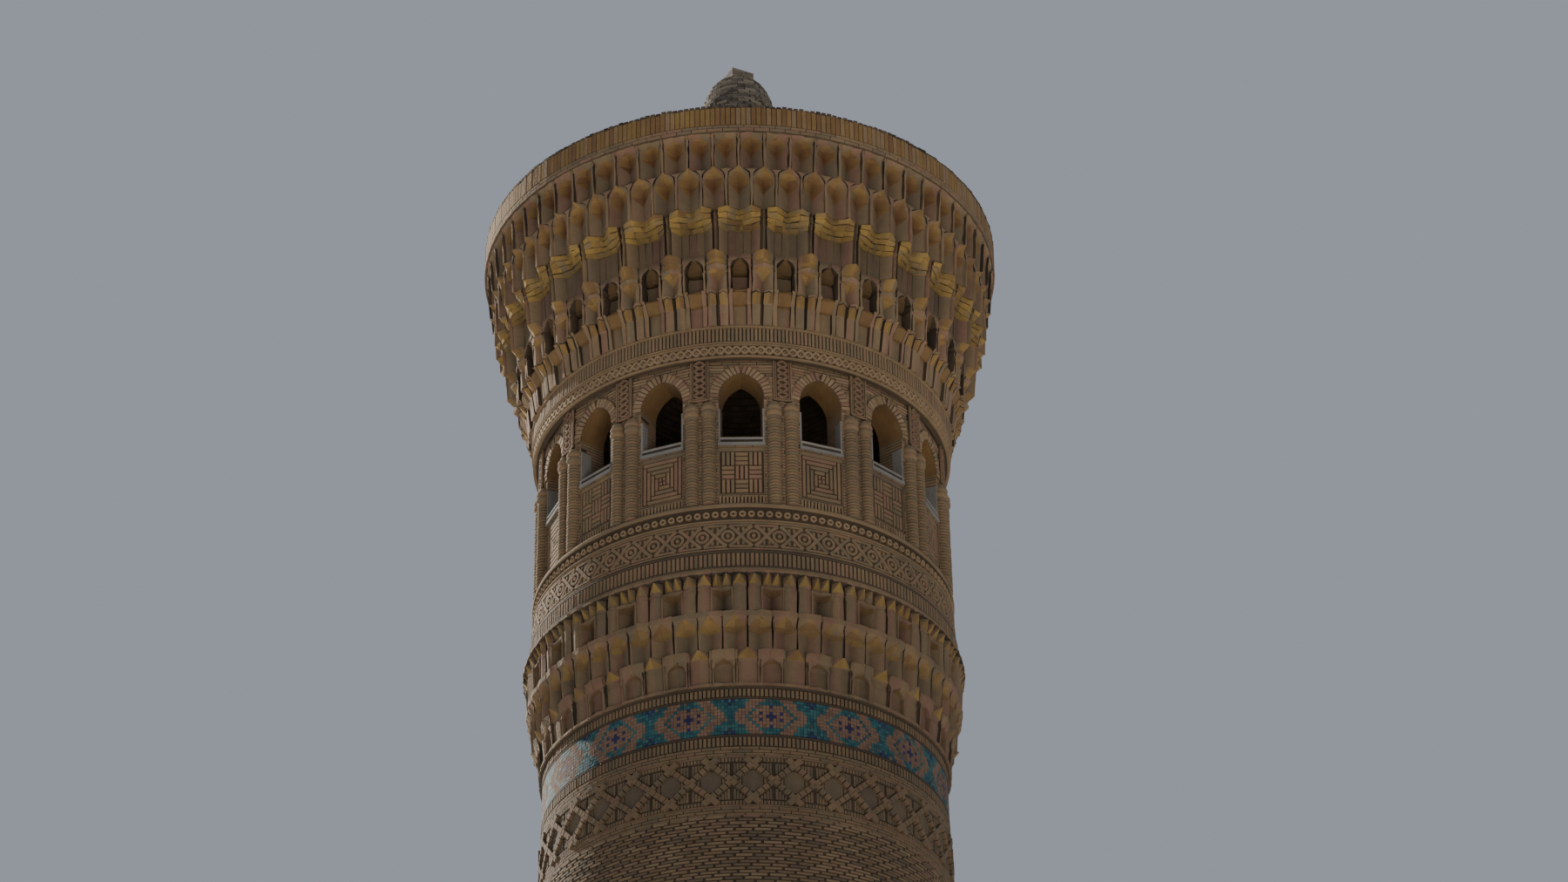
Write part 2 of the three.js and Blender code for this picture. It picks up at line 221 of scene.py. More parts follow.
def coursed(stops, radius, upright=0.028, flat=0.015):
    def look(place):
        lot, joint = bond(place, radius, upright, flat)
        body = ramp(lot * 0.6 + noise(place, 2.2, 4) * 0.5, stops)
        colour = weatheredAndShaded(place, blend(joint, body, clay["shadow"]))
        return {
            "colour": colour,
            "roughness": 0.82 + 0.14 * noise(place, 40, 3),
            "height": (1 - joint) * (0.75 + 0.25 * lot) + 0.6 * noise(place, 40, 6),
            "depth": 0.014,
        }
    return look


# The radius of a wall that doesn't taper
def steady(radius):
    return lambda height: height * 0 + radius


# Bricks that are modelled one by one carry their own tone
def loose(stops, roughness=0.86, mottle=0.35, scale=2.2, hollowShade=None):
    def look(place):
        tone = place.node("ShaderNodeAttribute", {}, "Fac", attribute_name="tone")
        body = ramp(tone * (1.1 - mottle) + noise(place, scale, 5) * mottle, stops)
        # painted shade: the deepest hollows turn towards a darker, warmer colour
        if hollowShade:
            recess = place.node("ShaderNodeAttribute", {}, "Fac", attribute_name="shade")
            body = blend(recess * recess * 0.8, body, hollowShade)
        return {
            "colour": weatheredAndShaded(place, body),
            "roughness": roughness + 0.1 * noise(place, 40, 3),
            "height": noise(place, 34, 6) + 0.5 * noise(place, 150, 3),
            "depth": 0.016,
        }
    return look


def mixed(**shares):
    return [(share, clay[name]) for name, share in shares.items()]


plainStops = mixed(ash=0.2, olive=0.45, sand=0.62, rose=0.85)
warmStops = mixed(ash=0.2, sand=0.45, pale=0.7, rose=0.9)
nicheStops = mixed(ash=0.1, olive=0.35, sand=0.6, rose=0.8, brown=1)
ochreStops = mixed(rust=0.2, ochre=0.4, amber=0.6, olive=0.85)
rimStops = mixed(bed=0.08, rust=0.3, ochre=0.55, sand=0.75, ash=0.95)
umberStops = mixed(rust=0.2, umber=0.45, honey=0.7, olive=0.9)
bedStops = mixed(shadow=0.3, bed=0.7)
# the inside of the head is given darker bricks: painted shade
shadedInnerStops = [(0.2, tint(60, 50, 40)), (0.5, tint(76, 64, 50)), (0.85, tint(88, 74, 58))]
soffitStops = [(0.2, tint(100, 72, 48)), (0.6, tint(122, 94, 56)), (0.9, tint(104, 74, 50))]
greyStops = [(0.15, tint(80, 74, 66)), (0.5, tint(112, 102, 90)), (0.85, tint(142, 130, 110))]
seaStops = [
    (0.14, clay["sand"]), (0.18, tint(26, 70, 78)), (0.6, tint(34, 94, 102)), (0.9, tint(56, 108, 108)),
]
inkStops = [(0.12, clay["ash"]), (0.16, tint(28, 25, 68)), (0.8, tint(44, 38, 96))]
# the warm colour that painted shade gives the deepest hollows of the top hoods
paintedHollowShade = tint(136, 84, 46)

looks = {
    "shaftBrick": addMaterial("shaft_brickwork", coursed(plainStops, shaftRadius)),
    "wallBrick": addMaterial("wall_brickwork", coursed(plainStops, steady(3.15), upright=0.012, flat=0.01)),
    "nicheBrick": addMaterial("niche_brick", loose(nicheStops, mottle=0.45, scale=5)),
    "hoodBrick": addMaterial("hood_brick", loose(ochreStops, mottle=0.6, scale=7)),
    "umberBrick": addMaterial("umber_brick", loose(umberStops, mottle=0.6, scale=7)),
    # top hoods, with painted shade in their deepest hollows
    "shadedHoodBrick": addMaterial("hood_brick_painted_shade", loose(umberStops, mottle=0.6, scale=7, hollowShade=paintedHollowShade)),
    "soffitBrick": addMaterial("soffit_brick", loose(soffitStops, mottle=0.9, scale=4)),
    "looseBrick": addMaterial("cut_brick", loose(plainStops)),
    "shadedInnerBrick": addMaterial("inner_brickwork_painted_shade", coursed(shadedInnerStops, steady(2.7), upright=0.012, flat=0.01)),
    "greyBrick": addMaterial("grey_cut_brick", loose(greyStops)),
    "paleBrick": addMaterial("pale_cut_brick", loose(warmStops)),
    "roseBrick": addMaterial("rose_tile_brick", loose([(0.2, tint(112, 86, 70)), (0.8, tint(138, 108, 88))])),
    "ochreBrick": addMaterial("ochre_cut_brick", loose(rimStops)),
    "mortar": addMaterial("mortar_bed", loose(bedStops)),
    "bedBrick": addMaterial("sooty_bed", loose([(0.2, tint(68, 56, 43)), (0.8, tint(96, 80, 62))])),
    "board": addMaterial("pale_sill_stone", loose([(0.2, tint(112, 108, 102)), (0.8, tint(152, 147, 140))])),
    "turquoise": addMaterial("turquoise_glaze", loose(seaStops, 0.75)),
    "cobalt": addMaterial("cobalt_glaze", loose(inkStops, 0.75)),
}


# Shared mesh helpers
def polar(radius, angle, z):
    return Vector((radius * cos(angle), radius * sin(angle), z)) * metre


def showMesh(name, mesh, materials, slot, *nodes, sharp=35):
    mesh.shade_smooth()
    mesh.set_sharp_from_angle(angle=radians(sharp))
    for key in materials:
        mesh.materials.append(looks[key])
    piece = bpy.data.objects.new(name, mesh)
    bpy.context.scene.collection.objects.link(piece)
    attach(piece, "root")
    if nodes:
        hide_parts(*nodes)
    return piece


def showBmesh(name, bm, materials, slot, *nodes, sharp=35):
    bmesh.ops.recalc_face_normals(bm, faces=bm.faces)
    if bm.faces.layers.float.get("tone") is None:
        tone = bm.faces.layers.float.new("tone")
        for face in bm.faces:
            face[tone] = 0.5
    mesh = bpy.data.meshes.new(name)
    bm.to_mesh(mesh)
    bm.free()
    return showMesh(name, mesh, materials, slot, *nodes, sharp=sharp)


def spinAround(bm, count):
    bmesh.ops.spin(
        bm, geom=bm.verts[:] + bm.edges[:] + bm.faces[:], cent=(0, 0, 0), axis=(0, 0, 1),
        angle=tau * (count - 1) / count, steps=count - 1, use_duplicate=True,
    )
    bmesh.ops.remove_doubles(bm, verts=bm.verts, dist=0.00005)


# A ring turned from a closed profile of (radius, height)
def turnedRing(profile, sides):
    bm = bmesh.new()
    corners = [bm.verts.new(polar(radius, front, z)) for radius, z in profile]
    edges = [bm.edges.new((corners[i - 1], corners[i])) for i in range(len(corners))]
    bmesh.ops.spin(
        bm, geom=corners + edges, cent=(0, 0, 0), axis=(0, 0, 1), angle=tau, steps=sides, use_merge=True,
    )
    bmesh.ops.remove_doubles(bm, verts=bm.verts, dist=0.00005)
    return bm


# A wall's place function turns a way across, a height and a lift off its face into a point
def roundWall(radius):
    reference = radius(0) if callable(radius) else radius

    def place(across, z, lift):
        reach = radius(z) if callable(radius) else radius
        return polar(reach + lift, front + across / reference, z)
    return place


def flatWall(apothem, turn=0):
    spin = Matrix.Rotation(turn, 3, "Z")
    return lambda across, z, lift: spin @ (Vector((across, -apothem - lift, z)) * metre)


# Many small raised bricks, collected for one cell of a pattern and then repeated round the tower
class Relief:
    def __init__(self, place):
        self.place = place
        self.points = []
        self.faces = []
        self.owners = []
        self.looks = []
        self.tones = []

    # A brick of any outline reaches from its bed, in the wall, to its lift; shrink draws in its outer face
    def prism(self, corners, lift, look=0, tone=0.5, bed=-0.02, shrink=0.0):
        first = len(self.points)
        count = len(corners)
        middle = [sum(values) / count for values in zip(*corners)]
        for height, scale in ((bed, 1), (lift, 1 - shrink)):
            for across, z in corners:
                self.points.append(self.place(
                    middle[0] + (across - middle[0]) * scale, middle[1] + (z - middle[1]) * scale, height))
        self.faces.append([first + count + i for i in range(count)])
        self.faces.append([first + i for i in reversed(range(count))])
        for i in range(count):
            j = (i + 1) % count
            self.faces.append([first + i, first + j, first + count + j, first + count + i])
        self.owners.extend([self.owners[-1] + 1 if self.owners else 0] * (count + 2))
        self.looks.extend([look] * (count + 2))
        self.tones.extend([tone] * (count + 2))

    def brick(self, left, right, low, high, lift, **more):
        left, right = sorted((left, right))
        low, high = sorted((low, high))
        self.prism([(left, low), (right, low), (right, high), (left, high)], lift, **more)

    # A brick given by its middle and half its width
    def post(self, across, half, low, high, lift, **more):
        self.brick(across - half, across + half, low, high, lift, **more)

    # A slanting strip from one point of the pattern to another
    def strap(self, start, end, width, lift, grow=0.0, **more):
        across, rise = end[0] - start[0], end[1] - start[1]
        length = hypot(across, rise)
        ux, uz = across / length, rise / length
        sx, sz = -uz * width / 2, ux * width / 2
        a = (start[0] - ux * grow, start[1] - uz * grow)
        b = (end[0] + ux * grow, end[1] + uz * grow)
        self.prism([
            (a[0] - sx, a[1] - sz), (b[0] - sx, b[1] - sz), (b[0] + sx, b[1] + sz), (a[0] + sx, a[1] + sz),
        ], lift, **more)

    # Every brick of every cell gets its own tone, off its stated one by up to the spread
    def show(self, name, materials, slot, *nodes, count=1, phase=0.0, spread=0.35, sharp=35):
        points = np.array([tuple(point) for point in self.points])
        loops = np.concatenate([np.array(face) for face in self.faces])
        sizes = np.array([len(face) for face in self.faces])
        tones = np.array(self.tones)
        owners = np.array(self.owners)
        turnedPoints, allLoops, allTones = [], [], []
        for k in range(count):
            angle = tau * (k + phase) / count
            turning = np.array([[cos(angle), sin(angle), 0], [-sin(angle), cos(angle), 0], [0, 0, 1]])
            turnedPoints.append(points @ turning)
            allLoops.append(loops + k * len(points))
            shift = chance.uniform(-spread, spread, owners.max() + 1)
            allTones.append(tones + shift[owners])
        mesh = bpy.data.meshes.new(name)
        coordinates = np.concatenate(turnedPoints)
        corners = np.concatenate(allLoops)
        allSizes = np.tile(sizes, count)
        mesh.vertices.add(len(coordinates))
        mesh.vertices.foreach_set("co", coordinates.ravel())
        mesh.loops.add(len(corners))
        mesh.loops.foreach_set("vertex_index", corners)
        mesh.polygons.add(len(allSizes))
        mesh.polygons.foreach_set("loop_start", np.concatenate([[0], np.cumsum(allSizes)[:-1]]))
        mesh.polygons.foreach_set("material_index", np.tile(self.looks, count))
        mesh.update(calc_edges=True)
        tone = mesh.attributes.new("tone", "FLOAT", "FACE")
        tone.data.foreach_set("value", np.clip(np.concatenate(allTones), 0, 1))
        return showMesh(name, mesh, materials, slot, *nodes, sharp=sharp)


# One ring of identical niches. Each row has its height, shares of a cell from a niche's middle to its
# edge, the radii there in centimetres beyond three metres, and the looks of the panels above it. A letter
# stands for a panel that a diagonal cuts, rising or falling outwards, with a look under it and one over it.
splits = {"a": (True, 1, 0), "b": (False, 1, 0), "c": (True, 0, 0), "d": (False, 0, 1), "e": (True, 0, 1)}
# how far corners are jittered, the recess depth that gets full painted shade, and the height of a hood course
wearAndShade = {"arris": 0.009, "sooty": 0.17, "course": 0.0725}


def nicheRing(name, rows, cells, phase, inner, hood, node):
    bm = bmesh.new()
    full = []
    for z, shares, radii, codes in rows:
        half = [(share, 3 + radius / 100, z) for share, radius in zip(shares, radii)]
        full.append([(-share, radius, z) for share, radius, z in reversed(half[1:])] + half)
    shares = [share for share, radius, z in full[0]]  # the ring is closed behind, at the inner radius
    full.insert(0, [(share, inner, rows[0][0]) for share in shares])
    full.append([(share, inner, rows[-1][0]) for share, radius, z in full[-1]])
    corners = [[
        bm.verts.new(polar(radius, front + tau * (share + phase) / cells, z)) for share, radius, z in row
    ] for row in full]
    columns = len(shares) - 1

    def face(points, look):  # corners that coincide are left out
        kept = []
        for point in points:
            if all((point.co - other.co).length > 0.00004 for other in kept):
                kept.append(point)
        if len(kept) > 2 and bm.faces.get(kept) is None:
            bm.faces.new(kept).material_index = look

    for k in range(len(corners)):
        below, above = corners[k], corners[(k + 1) % len(corners)]
        for j in range(columns):
            a, b, c, d = below[j], below[j + 1], above[j + 1], above[j]
            outer = j >= columns // 2
            code = "0"
            if 0 < k < len(corners) - 2:
                code = rows[k - 1][3][j - columns // 2 if outer else columns // 2 - 1 - j]
            if code not in splits:
                face((a, b, c, d), int(code))
                continue
            rising, lower, upper = splits[code]
            if rising == outer:
                face((a, b, c), lower)
                face((a, c, d), upper)
            else:
                face((a, b, d), lower)
                face((b, c, d), upper)
    spinAround(bm, cells)
    tone = bm.faces.layers.float.new("tone")
    tones = {}  # one tone for each strip of a niche, and in the hoods for each of its courses
    for made in bm.faces:
        middle = made.calc_center_median()
        turn = (atan2(middle.y, middle.x) - front) / tau * cells - phase
        strip = sum(share < turn - round(turn) for share in shares)
        course = int(middle.z / (wearAndShade["course"] * metre)) if made.material_index == 1 else 0
        key = round(turn) % cells, strip, course
        if key not in tones:
            tones[key] = chance.uniform(0.05, 1)
        made[tone] = tones[key]
    reach = {}  # painted shade lies where a row draws back behind its own outermost corner
    for vertex in bm.verts:
        level = round(vertex.co.z, 4)
        reach[level] = max(reach.get(level, 0), vertex.co.xy.length)
    shade = bm.verts.layers.float.new("shade")
    worn = wearAndShade["arris"] * metre
    for vertex in bm.verts:
        recess = reach[round(vertex.co.z, 4)] - vertex.co.xy.length
        vertex[shade] = min(recess / (wearAndShade["sooty"] * metre), 1)
        vertex.co += Vector(chance.uniform(-worn, worn, 3))
    return showBmesh(name, bm, ["nicheBrick", hood, "soffitBrick", "mortar"], "ochre_brick", node, sharp=20)


print("shaft")


# Each side of a pointed arch is an arc: how far its centre lies past the middle, its radius and its sweep
def pointedArch(half, rise):
    offset = (rise * rise - half * half) / (2 * half)
    return offset, half + offset, atan2(rise, offset)


def archOutline(half, base, spring, rise, steps):
    offset, radius, sweep = pointedArch(half, rise)
    right = [(radius * cos(sweep * i / steps) - offset, spring + radius * sin(sweep * i / steps))
             for i in range(steps + 1)]
    left = [(-across, z) for across, z in reversed(right[:-1])]
    return [(half, base)] + right + left + [(-half, base)]


def prismCutter(outline, near, far):
    bm = bmesh.new()
    loop, back = [
        [bm.verts.new(Vector((across, y, z)) * metre) for across, z in outline] for y in (near, far)
    ]
    bm.faces.new(loop)
    bm.faces.new(list(reversed(back)))
    for i in range(len(loop)):
        j = (i + 1) % len(loop)
        bm.faces.new((loop[i], back[i], back[j], loop[j]))
    bmesh.ops.recalc_face_normals(bm, faces=bm.faces)
    return bm


def carve(bm, cutters):
    objects = []
    for shape in [bm, *cutters]:
        mesh = bpy.data.meshes.new("blank")
        shape.to_mesh(mesh)
        shape.free()
        objects.append(bpy.data.objects.new("blank", mesh))
        bpy.context.scene.collection.objects.link(objects[-1])
    for cutter in objects[1:]:
        cut = objects[0].modifiers.new("cut", "BOOLEAN")
        cut.operation, cut.object, cut.solver = "DIFFERENCE", cutter, "EXACT"
    graph = bpy.context.evaluated_depsgraph_get()
    carved = bmesh.new()
    carved.from_mesh(bpy.data.meshes.new_from_object(objects[0].evaluated_get(graph)))
    for used in objects:
        bpy.data.objects.remove(used)
    return carved


reliefBase, reliefRadius = shaft["reliefBase"], shaftRadius(shaft["reliefBase"])
bm = turnedRing([
    (0.6, shaft["foot"]), (shaft["footRadius"], shaft["foot"]), (reliefRadius, reliefBase),
    (reliefRadius - shaft["sunk"], reliefBase), (shaft["topRadius"] - shaft["sunk"], shaft["top"]),
    (shaft["headRadius"], shaft["top"]), (shaft["headRadius"], shaft["head"]), (0.6, shaft["head"]),
], 144)
bmesh.ops.recalc_face_normals(bm, faces=bm.faces)
well = bmesh.new()
wellRadius = shaft["wellApothem"] / cos(pi / 8) * metre
bmesh.ops.create_cone(
    well, segments=8, radius1=wellRadius, radius2=wellRadius, depth=40 * metre, cap_ends=True,
    matrix=Matrix.Translation((0, 0, 18 * metre)) @ Matrix.Rotation(pi / 8, 4, "Z"),
)
doorway = prismCutter(  # at the back of the tower, from inside the well to past the wall
    archOutline(shaft["doorHalf"], shaft["foot"] - 0.1, shaft["doorSpring"], shaft["doorRise"], 10), 0.9, 5)
showBmesh(
    "shaft_wall", carve(bm, [well, doorway]), ["shaftBrick"], "brick",
    *[f"shaft_wall_{i}" for i in range(1, 9)], "door_jamb_left", "door_jamb_right", "door_arch", sharp=25,
)

# The bricks that the picture shows are laid one by one, from the relief's base up
bricks = Relief(lambda across, z, lift: polar(shaftRadius(z) - shaft["sunk"] + lift, front + across, z))
course = ceil(reliefBase / coursePitch)
while (course + 1) * coursePitch < shaft["top"] + 0.01:
    base = course * coursePitch
    number = int(tau * shaftRadius(base) / shaft["length"])
    gap = shaft["upright"] / shaftRadius(base) / 2
    joints = [tau * (k + raking * course + chance.uniform(-0.07, 0.07)) / number for k in range(number)]
    for start, end in zip(joints, joints[1:] + [joints[0] + tau]):
        bricks.brick(
            start + gap, end - gap, base + shaft["flat"] + chance.uniform(-0.003, 0.003),
            base + coursePitch + chance.uniform(-0.002, 0.002),
            0.021 + chance.uniform(-0.009, 0.007), shrink=0.02,
        )
    course += 1
bricks.show("shaft_bricks", ["paleBrick"], "brick", spread=0.45)

print("belts")
beltInner = 2.95


# Straight mouldings, whose profile runs up the outside from the first to the last height
def moulding(name, profile, material="looseBrick", slot="pale_brick", *nodes, inner=beltInner, sides=192):
    bm = turnedRing([(inner, profile[0][1]), *profile, (inner, profile[-1][1])], sides)
    return showBmesh(name, bm, [material], slot, *nodes)


moulding("shaft_bed", [
    (reliefRadius - 0.016, reliefBase + 0.01), (shaft["topRadius"] - 0.016, 29.8),
], "mortar", "brick")


def uprights(name, radius, low, high, count, lift, material="looseBrick", fill=0.66, spread=0.3, uneven=0.0):
    relief = Relief(roundWall(radius))
    for k in range(count):
        top = high + chance.uniform(-uneven, uneven)
        out = lift + chance.uniform(-0.15, 0.15) * lift
        relief.post(tau * radius * k / count, pi * radius / count * fill, low, top, out, shrink=0.04)
    relief.show(name, [material], "pale_brick", spread=spread)


def stretchers(name, radius, low, high, courses, length, lift, slot="pale_brick", spread=0.4):
    relief = Relief(roundWall(radius))
    pitch = (high - low) / courses
    number = int(tau * radius / length)
    step = tau * radius / number
    for row in range(courses):
        for k in range(number):
            start = step * (k + raking * row)
            relief.brick(start + 0.006, start + step - 0.006, low + pitch * row + 0.006,
                         low + pitch * (row + 1) - 0.004, lift + chance.uniform(-0.002, 0.002))
    relief.show(name, ["looseBrick"], slot, spread=spread)


girih = {
    "middle": 30.36, "radius": 3.02, "cells": 32, "phase": 0.18,
    "peak": 0.265, "width": 0.088, "shoulder": 0.1,
}
moulding("girih_bed", [(3.02, 29.81), (3.02, 30.91), (3.0, 30.91)], "mortar", "pale_brick", "girih_belt")
for name, low in (("girih_foot", 29.81), ("girih_head", 30.76)):
    stretchers(name, 3.02, low, low + 0.15, 3, 0.27, 0.026, spread=0.25)


# One diamond of straps round a plate, with uprights in the corners left over
def girihField():
    relief = Relief(roundWall(girih["radius"]))
    half = pi * girih["radius"] / girih["cells"]
    middle, peak, width = girih["middle"], girih["peak"], girih["width"]
    slope, shoulder = peak / half, girih["shoulder"]
    offset = (width / 2 + 0.004) * hypot(1, slope)
    plate = [(-0.148, -0.11), (-0.09, -0.155), (0, -0.17), (0.09, -0.155), (0.148, -0.11), (0.148, 0.1),
             (0.09, 0.15), (0, 0.185), (-0.09, 0.15), (-0.148, 0.1)]
    relief.prism([(across, middle + z) for across, z in plate], 0.008, tone=0.25, shrink=0.02)
    for side in (-1, 1):
        for updown in (-1, 1):
            lift = 0.058 if side * updown > 0 else 0.054
            for k in range(4):
                near, far = k / 4, (k + 1) / 4
                relief.strap(
                    (side * half * near, middle + updown * peak * (1 - near)),
                    (side * half * far, middle + updown * peak * (1 - far)),
                    width, lift + chance.uniform(-0.004, 0.004), grow=-0.003, tone=0.55, shrink=0.1)
            relief.strap(
                (0, middle + updown * peak), (side * shoulder, middle + updown * (peak + shoulder * slope)),
                width, lift, tone=0.55)
            for k in range(5):
                near = 0.024 + 0.042 * k
                low = max(slope * (near + 0.037) + offset, 0.1)
                if low < 0.26:
                    relief.post(side * (half - near - 0.019), 0.017, middle + updown * low,
                                middle + updown * 0.283, 0.016, tone=0.35)
            for k in range(4):
                relief.post(side * (half - 0.025 - 0.05 * k), 0.019, middle + updown * 0.312,
                            middle + updown * 0.368, 0.024, tone=0.5)
            relief.brick(0, side * half, middle + updown * 0.376, middle + updown * 0.4, 0.028, tone=0.65)
        point, root = (side * 0.212, middle), side * 0.16
        relief.prism([(root, middle - side * 0.06), point, (root, middle + side * 0.06)], 0.02, tone=0.5)
    return relief


girihField().show(
    "girih_straps", ["looseBrick"], "pale_brick", count=girih["cells"], phase=girih["phase"], spread=0.3)
moulding("tile_bed", [
    (3.02, 30.91), (3.02, 31.07), (3.045, 31.075), (3.045, 31.105), (3.02, 31.11), (3.02, 31.685),
    (3.045, 31.69), (3.045, 31.71), (3.02, 31.72), (3.02, 31.85), (3.07, 31.86), (3.075, 31.88), (3.0, 31.88),
], "mortar", "glazed_tile", "tile_belt")
uprights("dentils_under_tiles", 3.02, 30.925, 31.065, 300, 0.026)
uprights("dentils_over_tiles", 3.02, 31.725, 31.845, 300, 0.03)

tiles = {"low": 31.115, "rows": 11, "repeat": 24, "cells": 16, "radius": 3.02, "phase": 0.3}


# Stepped medallions in turquoise between stepped frames, with cobalt at their hearts
def tileField():
    relief = Relief(roundWall(tiles["radius"]))
    step = tau * tiles["radius"] / (tiles["cells"] * tiles["repeat"])
    middleRow, middleColumn = tiles["rows"] // 2, tiles["repeat"] // 2
    wide = [1, 1, 2, 4, 4, 5]
    for row in range(tiles["rows"]):
        rise = abs(row - middleRow)
        for column in range(tiles["repeat"]):
            waist = abs(column - middleColumn)
            field = middleColumn - waist
            look, tone = 0, 0.7
            if waist <= wide[rise] or field <= 2 and rise >= 4 or field + rise == 7:
                look, tone = 1, 0.5
            if field + rise <= 1 or (field, rise) in ((3, 1), (0, 3)) or (waist, rise) in ((0, 4), (1, 5)):
                look, tone = 2, 0.5
            left, low = column * step, tiles["low"] + row * coursePitch
            relief.brick(left + 0.002, left + step - 0.002, low + 0.002, low + coursePitch - 0.002,
                         0.02 + chance.uniform(-0.001, 0.001), look=look, tone=tone)
    return relief


tileField().show("tile_field", ["roseBrick", "turquoise", "cobalt"], "glazed_tile", count=tiles["cells"],
                 phase=tiles["phase"], spread=0.56)

print("lower niches")


# Where the panels of a niche meet, as shares of its cell: the edge or crease moves in as a hood closes
def arched(edge):
    return [0, edge, edge + 0.01, 0.235, 0.245, 0.285, 0.3, 0.5]


def folded(crease):
    return [0, crease, 0.465, 0.5]


wide, medium, narrow = arched(0.19), arched(0.14), arched(0.03)
nicheRing("lower_niches_1", [
    (31.88, wide, [10] * 8, "0000000"),
    (31.92, wide, [10] * 8, "3000000"),
    (31.925, wide, [3, 3, 9, 9, 7, 10, 6, 7.5], "0003030"),
    (32.15, wide, [5, 5, 11.5, 11.5, 9.5, 12.5, 8.5, 10], "0003030"),
    (32.18, wide, [5.5, 5.5, 12, 12, 10, 13, 9, 10.5], "0003030"),
    (32.24, medium, [7.5, 6.5, 12.5, 12.5, 10.5, 13.5, 9, 11], "2003030"),
    (32.29, narrow, [10, 10, 13, 13, 11, 14, 10, 12], "0000030"),
    (32.31, narrow, [14, 14, 14, 14, 14, 15, 12, 13], "000000a"),
    (32.43, narrow, [20, 20, 20, 18, 17.5, 17, 12, 23.5], ""),
], 28, 0.58, beltInner, "hoodBrick", "lower_muqarnas_1")
nicheRing("lower_niches_2", [
    (32.43, folded(0.4), [10, 19, 21, 15], "003"),
    (32.7, folded(0.4), [12, 21, 23, 17], "1c3"),
    (32.78, folded(0.42), [19, 21.5, 24, 18], "103"),
    (32.87, folded(0.2), [27, 26, 25, 19], "b03"),
    (32.92, folded(0.12), [31, 30.5, 29, 28], "000"),
    (33.0, folded(0.12), [31.5, 31, 30, 29], ""),
], 56, 0.66, beltInner, "umberBrick", "lower_muqarnas_2")
shares = [0, 0.095, 0.185, 0.195, 0.215, 0.225, 0.35, 0.478, 0.5]
nicheRing("lower_niches_3", [
    (33.0, shares, [12, 19, 27, 30, 30, 28, 31, 28, 19], "00000003"),
    (33.28, shares, [14, 21, 28.5, 32, 32, 29, 32, 29, 20], "22000003"),
    (33.36, shares, [24, 26, 29.5, 32, 32, 29, 32.5, 29, 20], "00000003"),
    (33.37, shares, [29, 30, 31, 32, 32, 29, 32.5, 29, 20], "00000003"),
    (33.4, shares, [29, 30, 31, 32, 32, 29, 32.5, 29, 20], "33330003"),
    (33.41, shares, [25, 27, 25, 25, 25, 29, 32.5, 29, 20], "00330003"),
    (33.45, shares, [25, 28, 25, 25, 25, 29, 32.5, 29, 20], "ab330ab3"),
    (33.595, shares, [26, 36.5, 27, 26, 26, 27, 37, 27, 24], "33333333"),
    (33.6, shares, [37] * 9, "00000000"),
    (33.64, shares, [37] * 9, ""),
], 28, 0.58, beltInner, "hoodBrick", "lower_muqarnas_3")

print("star and bead belts")
moulding("star_bed", [
    (3.345, 33.64), (3.345, 33.67), (3.325, 33.675), (3.325, 33.7), (3.31, 33.705),
    (3.31, 33.74), (3.27, 33.745), (3.265, 33.98), (3.29, 33.985), (3.285, 34.02),
    (3.245, 34.03), (3.215, 34.54), (3.2, 34.55),
], "bedBrick", "pale_brick", "star_belt")
uprights("dentils_under_stars", 3.265, 33.755, 33.975, 300, 0.026, spread=0.35)
moulding("star_ledges", [
    (3.345, 33.642), (3.352, 33.65), (3.352, 33.672), (3.33, 33.676), (3.33, 33.702), (3.31, 33.706),
], inner=3.28)
stars = {"cells": 54, "phase": 0.43, "middle": 34.29, "radius": 3.235}


# One rosette with a knob, between crossing straps and under a line of short bricks
def starField():
    def radius(z):
        return 3.245 - (z - 34.03) * 0.06

    relief = Relief(lambda across, z, lift: polar(radius(z) + lift, front + across / stars["radius"], z))
    half = pi * stars["radius"] / stars["cells"]
    middle = stars["middle"]
    outer = [(0.086 * cos(tau * (k + 0.5) / 8), middle + 0.09 * sin(tau * (k + 0.5) / 8)) for k in range(8)]
    for k in range(8):
        relief.strap(outer[k - 1], outer[k], 0.04, 0.028, grow=0.012, tone=0.55)
    knob = [(0.038 * cos(tau * k / 8), middle + 0.042 * sin(tau * k / 8)) for k in range(8)]
    relief.prism(knob, 0.03, tone=0.6, shrink=0.25)
    for side in (-1, 1):
        for updown in (-1, 1):
            lift = 0.026 + 0.002 * side * updown
            start = (side * 0.1, middle + updown * 0.105)
            relief.strap(start, (side * half, middle), 0.052, lift, grow=0.012, tone=0.5)
            relief.strap(start, (side * 0.03, middle + updown * 0.17), 0.05, lift, grow=0.012, tone=0.5)
            for near, far, low, high, out, tone in (
                (0.022, half, 0.168, 0.2, 0.028, 0.55),
                (0.132, 0.168, 0.09, 0.15, 0.02, 0.45),
                (0, half, 0.216, 0.244, 0.024, 0.5),
            ):
                low, high = middle + updown * low, middle + updown * high
                relief.brick(side * near, side * far, low, high, out, tone=tone)
    return relief


starField().show(
    "star_straps", ["looseBrick"], "pale_brick", count=stars["cells"], phase=stars["phase"], spread=0.3)
moulding("bead_bed", [
    (3.24, 34.55), (3.24, 34.575), (3.205, 34.585), (3.205, 34.775), (3.24, 34.785), (3.255, 34.81),
    (3.24, 34.835), (3.215, 34.84), (3.2, 34.87),
], "mortar", "pale_brick", "bead_belt")
moulding("bead_ledges", [
    (3.235, 34.785), (3.255, 34.79), (3.26, 34.82), (3.25, 34.85), (3.215, 34.855),
], inner=3.2)
moulding("bead_footing", [(3.235, 34.545), (3.25, 34.55), (3.25, 34.57), (3.23, 34.578)], inner=3.2)


beads = {
    "radius": 3.208, "middle": 34.68, "outer": 0.053, "hole": 0.02, "lift": 0.042, "sides": 14, "count": 152,
}


